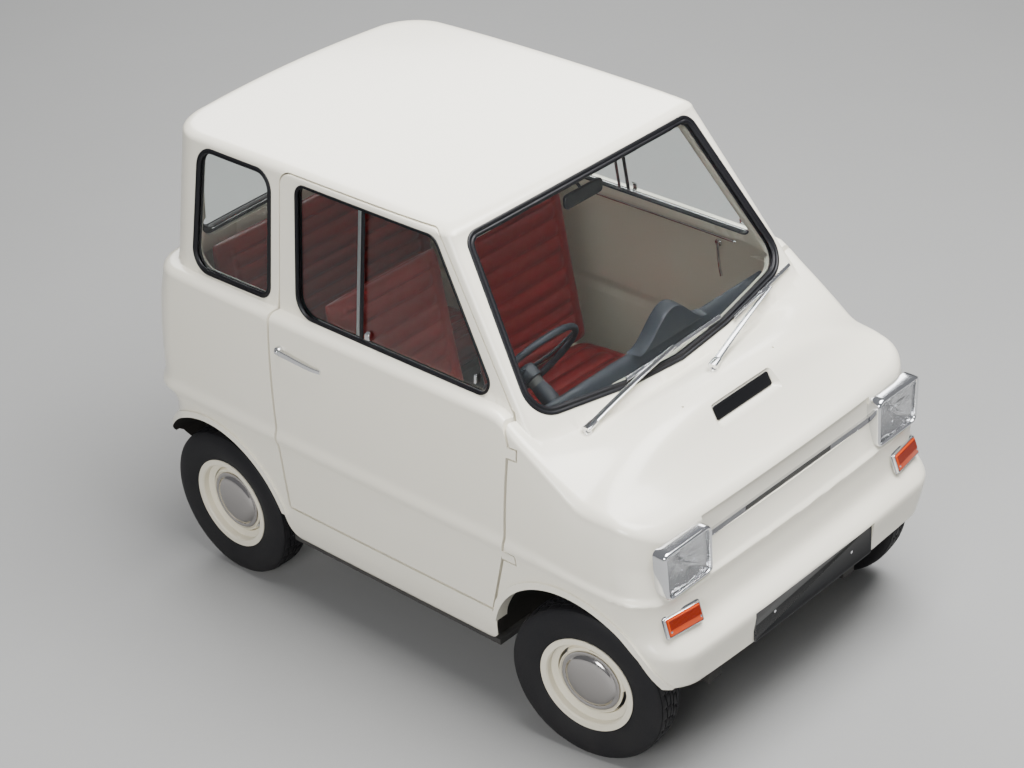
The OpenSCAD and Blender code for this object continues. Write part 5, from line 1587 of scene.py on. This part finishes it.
def pad(name, half_w, thick, back_thick, spine, border, rows, seed, nu=56, nv=110, u_power=5.5):
    """spine(v) gives (point, run, up) for v from -1 to 1; half_w is the half width in millimetres."""
    length = sum((spine(-1 + 2 * (k + 1) / 60)[0] - spine(-1 + 2 * k / 60)[0]).length for k in range(60))
    b_u, b_v = border / half_w, border * 2 / length
    def surface_point(u, v, side):
        spot, _, up = spine(v)
        crown = (max(0.0, 1 - abs(u) ** u_power) * max(0.0, 1 - abs(v) ** 7)) ** 0.42
        height = (thick if side > 0 else back_thick) * crown
        if side > 0:
            inside_u = ease((1 - b_u - abs(u)) / 0.03 + 0.5)
            inside_v = ease((1 - b_v - abs(v)) / 0.02 + 0.5)
            field = inside_u * inside_v
            share = (v + 1 - b_v) / (2 - 2 * b_v) * rows
            pleat = abs(share - round(share))
            height -= field * 5.5 * math.exp(-(pleat / 0.085) ** 2)
            height += field * 2.2 * math.cos(2 * math.pi * (share - 0.5))
            edge_u, edge_v = 0, 0
            if abs(v) < 1 - b_v * 0.6:
                edge_u = math.exp(-((abs(u) - (1 - b_u)) * half_w / 3.2) ** 2)
            if abs(u) < 1 - b_u * 0.6:
                edge_v = math.exp(-((abs(v) - (1 - b_v)) * length / 2 / 3.2) ** 2)
            height -= 4.2 * max(edge_u, edge_v)
        height += 0.9 * folds(u * 2, v * 3, seed) * crown * (abs(u) ** 2 + abs(v) ** 2) / 1.4
        across = Vector((1, 0, 0))
        pull = 1 - 0.012 * abs(v) ** 8
        return spot + across * u * half_w * pull + up * height * side
    def spread_out(i, n):
        t = -1 + 2 * i / n
        return math.sin(t * math.pi / 2) * 0.45 + t * 0.55
    points, faces, index = [], [], {}
    for side in (1, -1):
        for j in range(nv + 1):
            for i in range(nu + 1):
                rim = i in (0, nu) or j in (0, nv)
                if rim and side < 0:
                    index[(side, i, j)] = index[(1, i, j)]
                    continue
                index[(side, i, j)] = len(points)
                points.append(tuple(surface_point(spread_out(i, nu), spread_out(j, nv), side)))
        for j in range(nv):
            for i in range(nu):
                quad = [index[(side, *c)] for c in ((i, j), (i + 1, j), (i + 1, j + 1), (i, j + 1))]
                faces.append(quad if side > 0 else quad[::-1])
    body = outward(mesh_object(name, points, faces))
    cord = piping_cord(half_w, spine)
    for face in cord.data.polygons:
        face.material_index = 1
    for each in (body, cord):
        each.data.materials.append(OXBLOOD)
        each.data.materials.append(PIPING)
    whole_pad = joined(name, [body, cord])
    whole_pad.data.shade_smooth()
    return whole_pad

# %% Piping and spines
CORD_R, CORD_STEPS, CORD_SHARE, SQUARENESS = 3.6, 160, 0.992, 9

def piping_cord(half_w, spine):
    """A round cord in the seam, along a square with rounded corners laid over the pad."""
    ring = []
    for k in range(CORD_STEPS):
        a = 2 * math.pi * k / CORD_STEPS
        c, s = math.cos(a), math.sin(a)
        r = (abs(c) ** SQUARENESS + abs(s) ** SQUARENESS) ** (-1 / SQUARENESS)
        u, v = c * r, s * r
        ring.append(spine(v * CORD_SHARE)[0] + Vector((1, 0, 0)) * u * half_w * CORD_SHARE)
    up = spine(0)[2]
    frames = []
    for k, spot in enumerate(ring):
        run = (ring[(k + 1) % CORD_STEPS] - ring[k - 1]).normalized()
        out = run.cross(up).normalized()
        frames.append((spot, out, run.cross(out)))
    return swept("piping", circle_points(0, 0, CORD_R, 10), frames)

def line_spine(points):
    """The middle line of a pad, as a function that gives its point, its direction and its up direction."""
    spots = [Vector(p) for p in smooth_points(points, 20)]
    def spine(v):
        x = (v + 1) / 2 * (len(spots) - 1)
        k = min(int(x), len(spots) - 2)
        spot = spots[k].lerp(spots[k + 1], x - k)
        run = (spots[min(k + 2, len(spots) - 1)] - spots[max(k - 1, 0)]).normalized()
        return spot, run, run.cross(Vector((-1, 0, 0))).normalized()
    return spine

# %% Seats
FRONT_CUSHION = [[0, -168, 471], [0, -100, 478], [0, 60, 474], [0, 232, 462]]
FRONT_BACK = [[0, 226, 500], [0, 250, 620], [0, 284, 820], [0, 312, 1002]]
REAR_CUSHION = [[0, 500, 434], [0, 600, 440], [0, 700, 438], [0, 800, 430]]
REAR_BACK = [[0, 800, 480], [0, 818, 640], [0, 836, 820], [0, 848, 996]]
SEAT_X, FRONT_HALF_W, REAR_HALF_W = 0.258, 216, 420

def upholstered(piece, name, stands_for=()):
    finish_piece(piece, name, "car_body", [OXBLOOD, PIPING], stands_for)

def seats():
    for side, label in ((1, "left"), (-1, "right")):
        shift = Matrix.Translation((side * SEAT_X, 0, 0))
        seat = pad("cushion", FRONT_HALF_W, 42, 32, line_spine(FRONT_CUSHION), 52, 7, 0.7 + side)
        seat.data.transform(shift)
        rest = pad("back", FRONT_HALF_W, 34, 26, line_spine(FRONT_BACK), 52, 9, 2.1 + side)
        rest.data.transform(shift)
        upholstered(seat, f"{label}_front_cushion", ["front_seats"] if side > 0 else ())
        upholstered(rest, f"{label}_front_backrest")
    wide = pad("cushion", REAR_HALF_W, 44, 34, line_spine(REAR_CUSHION), 60, 5, 3.3, 96, 84, 9)
    upholstered(wide, "rear_cushion", ["rear_seat"])
    high = pad("back", REAR_HALF_W, 30, 24, line_spine(REAR_BACK), 60, 9, 4.1, 96, 110, 9)
    upholstered(high, "rear_backrest")

seats()

# %% [markdown]
# ## Dashboard and controls
# The padded dash has a rolled rear edge, and a bell-shaped hood with the dials stands on it. The steering
# wheel has a thick rim with finger grips and three dished spokes, and the inner mirror hangs from a bent stem.
# The dash is one section drawn across the car, because the real one is the same all along its width.

# %% Dash
DASH_LINE = [[-557, 846], [-557, 873], [-484, 873], [-470, 902], [-456, 924], [-444, 931], [-434, 926], [-430, 914],
             [-430, 846], [-442, 832], [-470, 828], [-520, 836]]
HOOD_X, HOOD_Y, HOOD_Z = 70, -434, 931.2

def dash():
    smooth = smooth_points(DASH_LINE + DASH_LINE[:1], 3)[:-1]
    body = prism("dash", smooth, side_place, -497.5, 497.5)
    finish_piece(soften(body, 3, 3, 40), "padded_dash", "car_body", VINYL, ["dash"])
    bell = [[150 * i / 24, 92 * (1 + math.cos(math.pi * i / 24)) / 2 + 0.8] for i in range(-24, 25)]
    rings = []
    for w, k in ((1.5, 0.94), (0, 0.97), (0.8, 0.985), (3, 1.0), (10, 1.0), (36, 0.97), (42, 0.96), (45, 0.94)):
        rings.append([(HOOD_X + u * k, HOOD_Y - w, HOOD_Z + v * k) for u, v in bell])
    hood = ring_strip("hood", rings, False)
    finish_piece(shade(hood, 40), "dial_hood", "car_body", VINYL, ["instrument_pod"])
    dials = []
    for u, v, r in ((-26, 34, 25), (30, 34, 25), (2, 72, 10)):
        section = [(0, 0), (0, r + 3), (1.8, r + 3), (2.6, r + 1.6), (2.4, r), (0.8, r - 0.6), (0.8, 0)]
        face = lathed("dial", section, 40, False)
        spot = Matrix.Translation(((HOOD_X + u) * MM, -0.4345, (931 + v) * MM))
        face.data.transform(spot @ Matrix.Rotation(math.radians(90), 4, "Z"))
        dials.append(face)
    finish_piece(shade(joined("dials", dials), 30), "dials", "car_body", ENAMEL)

dash()

# %% Steering wheel
COLUMN = Matrix.Translation((-0.262, -0.232, 0.892)) @ Matrix.Rotation(math.radians(-55), 4, "X")
RIM_R, RIM_THICK = 175, 9.8
HUB_SECTION = [(-34, 12.4), (-34, 30), (-10, 30), (0, 28.6), (5, 25), (8.4, 18), (10, 8), (10.4, 0), (-8, 0), (-8, 12.4)]

def grip_rim(steps=240, around=20):
    """The rim, with shallow finger grips along its inner side."""
    rings = []
    for k in range(steps):
        a = 2 * math.pi * k / steps
        grip = 0.7 * abs(math.sin(a * 24)) - 0.7
        ring = []
        for q in range(around):
            b = 2 * math.pi * q / around
            r = RIM_THICK + (grip if math.cos(b) < 0.2 else 0)
            reach = RIM_R + r * math.cos(b)
            ring.append((reach * math.cos(a), reach * math.sin(a), r * math.sin(b)))
        rings.append(ring)
    return ring_strip("rim", rings)

def steering():
    parts = [grip_rim()]
    for a in (90, 210, 330):
        c, s = math.cos(math.radians(a)), math.sin(math.radians(a))
        reach = [(12, -4), (40, -6), (90, -7.5), (140, -4), (172, 0)]
        spots = [Vector((p[0] * c, p[0] * s, p[1])) for p in smooth_points([[r, z, 0] for r, z in reach], 5)]
        n = len(spots)
        sizes = [(mix(13, 9, i / (n - 1)), 3.2) for i in range(n)]
        parts.append(flat_bar("spoke", spots, sizes, Vector((-s, c, 0))))
    hub = lathed("hub", HUB_SECTION, 64, True)
    hub.data.transform(Matrix.Rotation(math.radians(-90), 4, "Y"))
    parts.append(hub)
    wheel = joined("wheel", parts)
    wheel.data.transform(COLUMN)
    finish_piece(shade(wheel, 40), "driver_wheel", "steering_wheel", VINYL, ["steering_wheel"])

steering()

# %% Column shroud and inner mirror
def column_pod():
    pod = lathed("pod", [(-40, 0), (-40, 16), (-34, 22), (-10, 25), (20, 25.6), (34, 23.5), (40, 20), (40, 0)], 48, False)
    pod.data.transform(COLUMN @ Matrix.Translation((0, 0, -0.090)) @ Matrix.Rotation(math.radians(90), 4, "Y"))
    finish_piece(shade(pod, 40), "column_shroud", "car_body", VINYL)

def inner_mirror():
    levels = [(-3, -5.5), (-1, -5), (0, -3.4), (0, 3.4), (-1, 5), (-3.4, 5.2), (-4, 4.4)]
    case = rounded_block("mirror", 150, 42, levels, 12)
    case.data.transform(Matrix.Translation((0, -0.235, 1.318)) @ Matrix.Rotation(math.radians(-90), 4, "X"))
    stem = tube("stem", smooth_points([[0, -232, 1322], [0, -222, 1336], [0, -198, 1362], [0, -186, 1385]], 5), 4.5, 14)
    mirror = shade(joined("mirror", [case, stem]), 40)
    finish_piece(mirror, "inner_mirror", "car_body", ENAMEL, ["cabin_mirror"])

column_pod()
inner_mirror()

# %% [markdown]
# ## Floor and light
# The floor is plain and pale with a soft rise behind the car, and three soft panels light it: a wide one from
# above the front, a weaker one from the other side, and a narrow one behind that draws the roof's edge.

# %% Floor
FLOOR_ROWS, RISE_AT = 64, 12

def make_floor():
    """A sheet in metres that lies flat under the car and curves up far behind it."""
    rows = []
    for k in range(FLOOR_ROWS):
        t = k / (FLOOR_ROWS - 1)
        reach = -16 + 40 * t
        rise = 0 if reach < RISE_AT else 0.06 * (reach - RISE_AT) ** 2
        rows.append([(x, reach, rise) for x in range(-30, 31, 5)])
    points = [p for row in rows for p in row]
    floor = mesh_object("floor", points, band_faces(FLOOR_ROWS, len(rows[0]), False, False), 1)
    floor.matrix_world = Matrix.Rotation(math.radians(-45), 4, "Z") @ Matrix.Translation((0, 2, 0))
    floor.data.shade_smooth()
    paint = surface("pale_floor", (0.3, 0.3, 0.295), (0.275, 0.275, 0.27), rough=0.8, grain=0.03, scale=40)
    floor.data.materials.append(paint)

make_floor()

# %% Lights
def soft_light(name, place, target, size, power):
    lamp = bpy.data.lights.new(name, "AREA")
    lamp.shape = "RECTANGLE"
    lamp.size, lamp.size_y = size
    lamp.energy = power
    obj = bpy.data.objects.new(name, lamp)
    obj.location = place
    obj.rotation_euler = (Vector(target) - Vector(place)).to_track_quat("-Z", "Y").to_euler()
    bpy.context.scene.collection.objects.link(obj)

soft_light("key_light", (0.6, -1.4, 5.6), (0, 0.1, 0.6), (4.2, 3.6), 840)
soft_light("fill_light", (-5.4, -2.2, 3.0), (0, 0, 0.7), (2.6, 2.0), 250)
soft_light("rim_light", (4.2, 4.6, 4.6), (0, 0, 0.8), (5.6, 2.4), 330)
world = bpy.data.worlds.new("studio")
bpy.context.scene.world = world
world.use_nodes = True
world.node_tree.nodes["Background"].inputs["Color"].default_value = (0.93, 0.95, 1.0, 1)
world.node_tree.nodes["Background"].inputs["Strength"].default_value = 0.27
print("lights:", len(bpy.data.lights))

# %% [markdown]
# ## Sizes and the end
# The helper solid that the shells were cut from is removed.

# %% Finish
bpy.data.objects.remove(skin)
bpy.context.view_layer.update()
print("box of the frame:", [[round(v, 4) for v in c] for c in CAD_BOX])
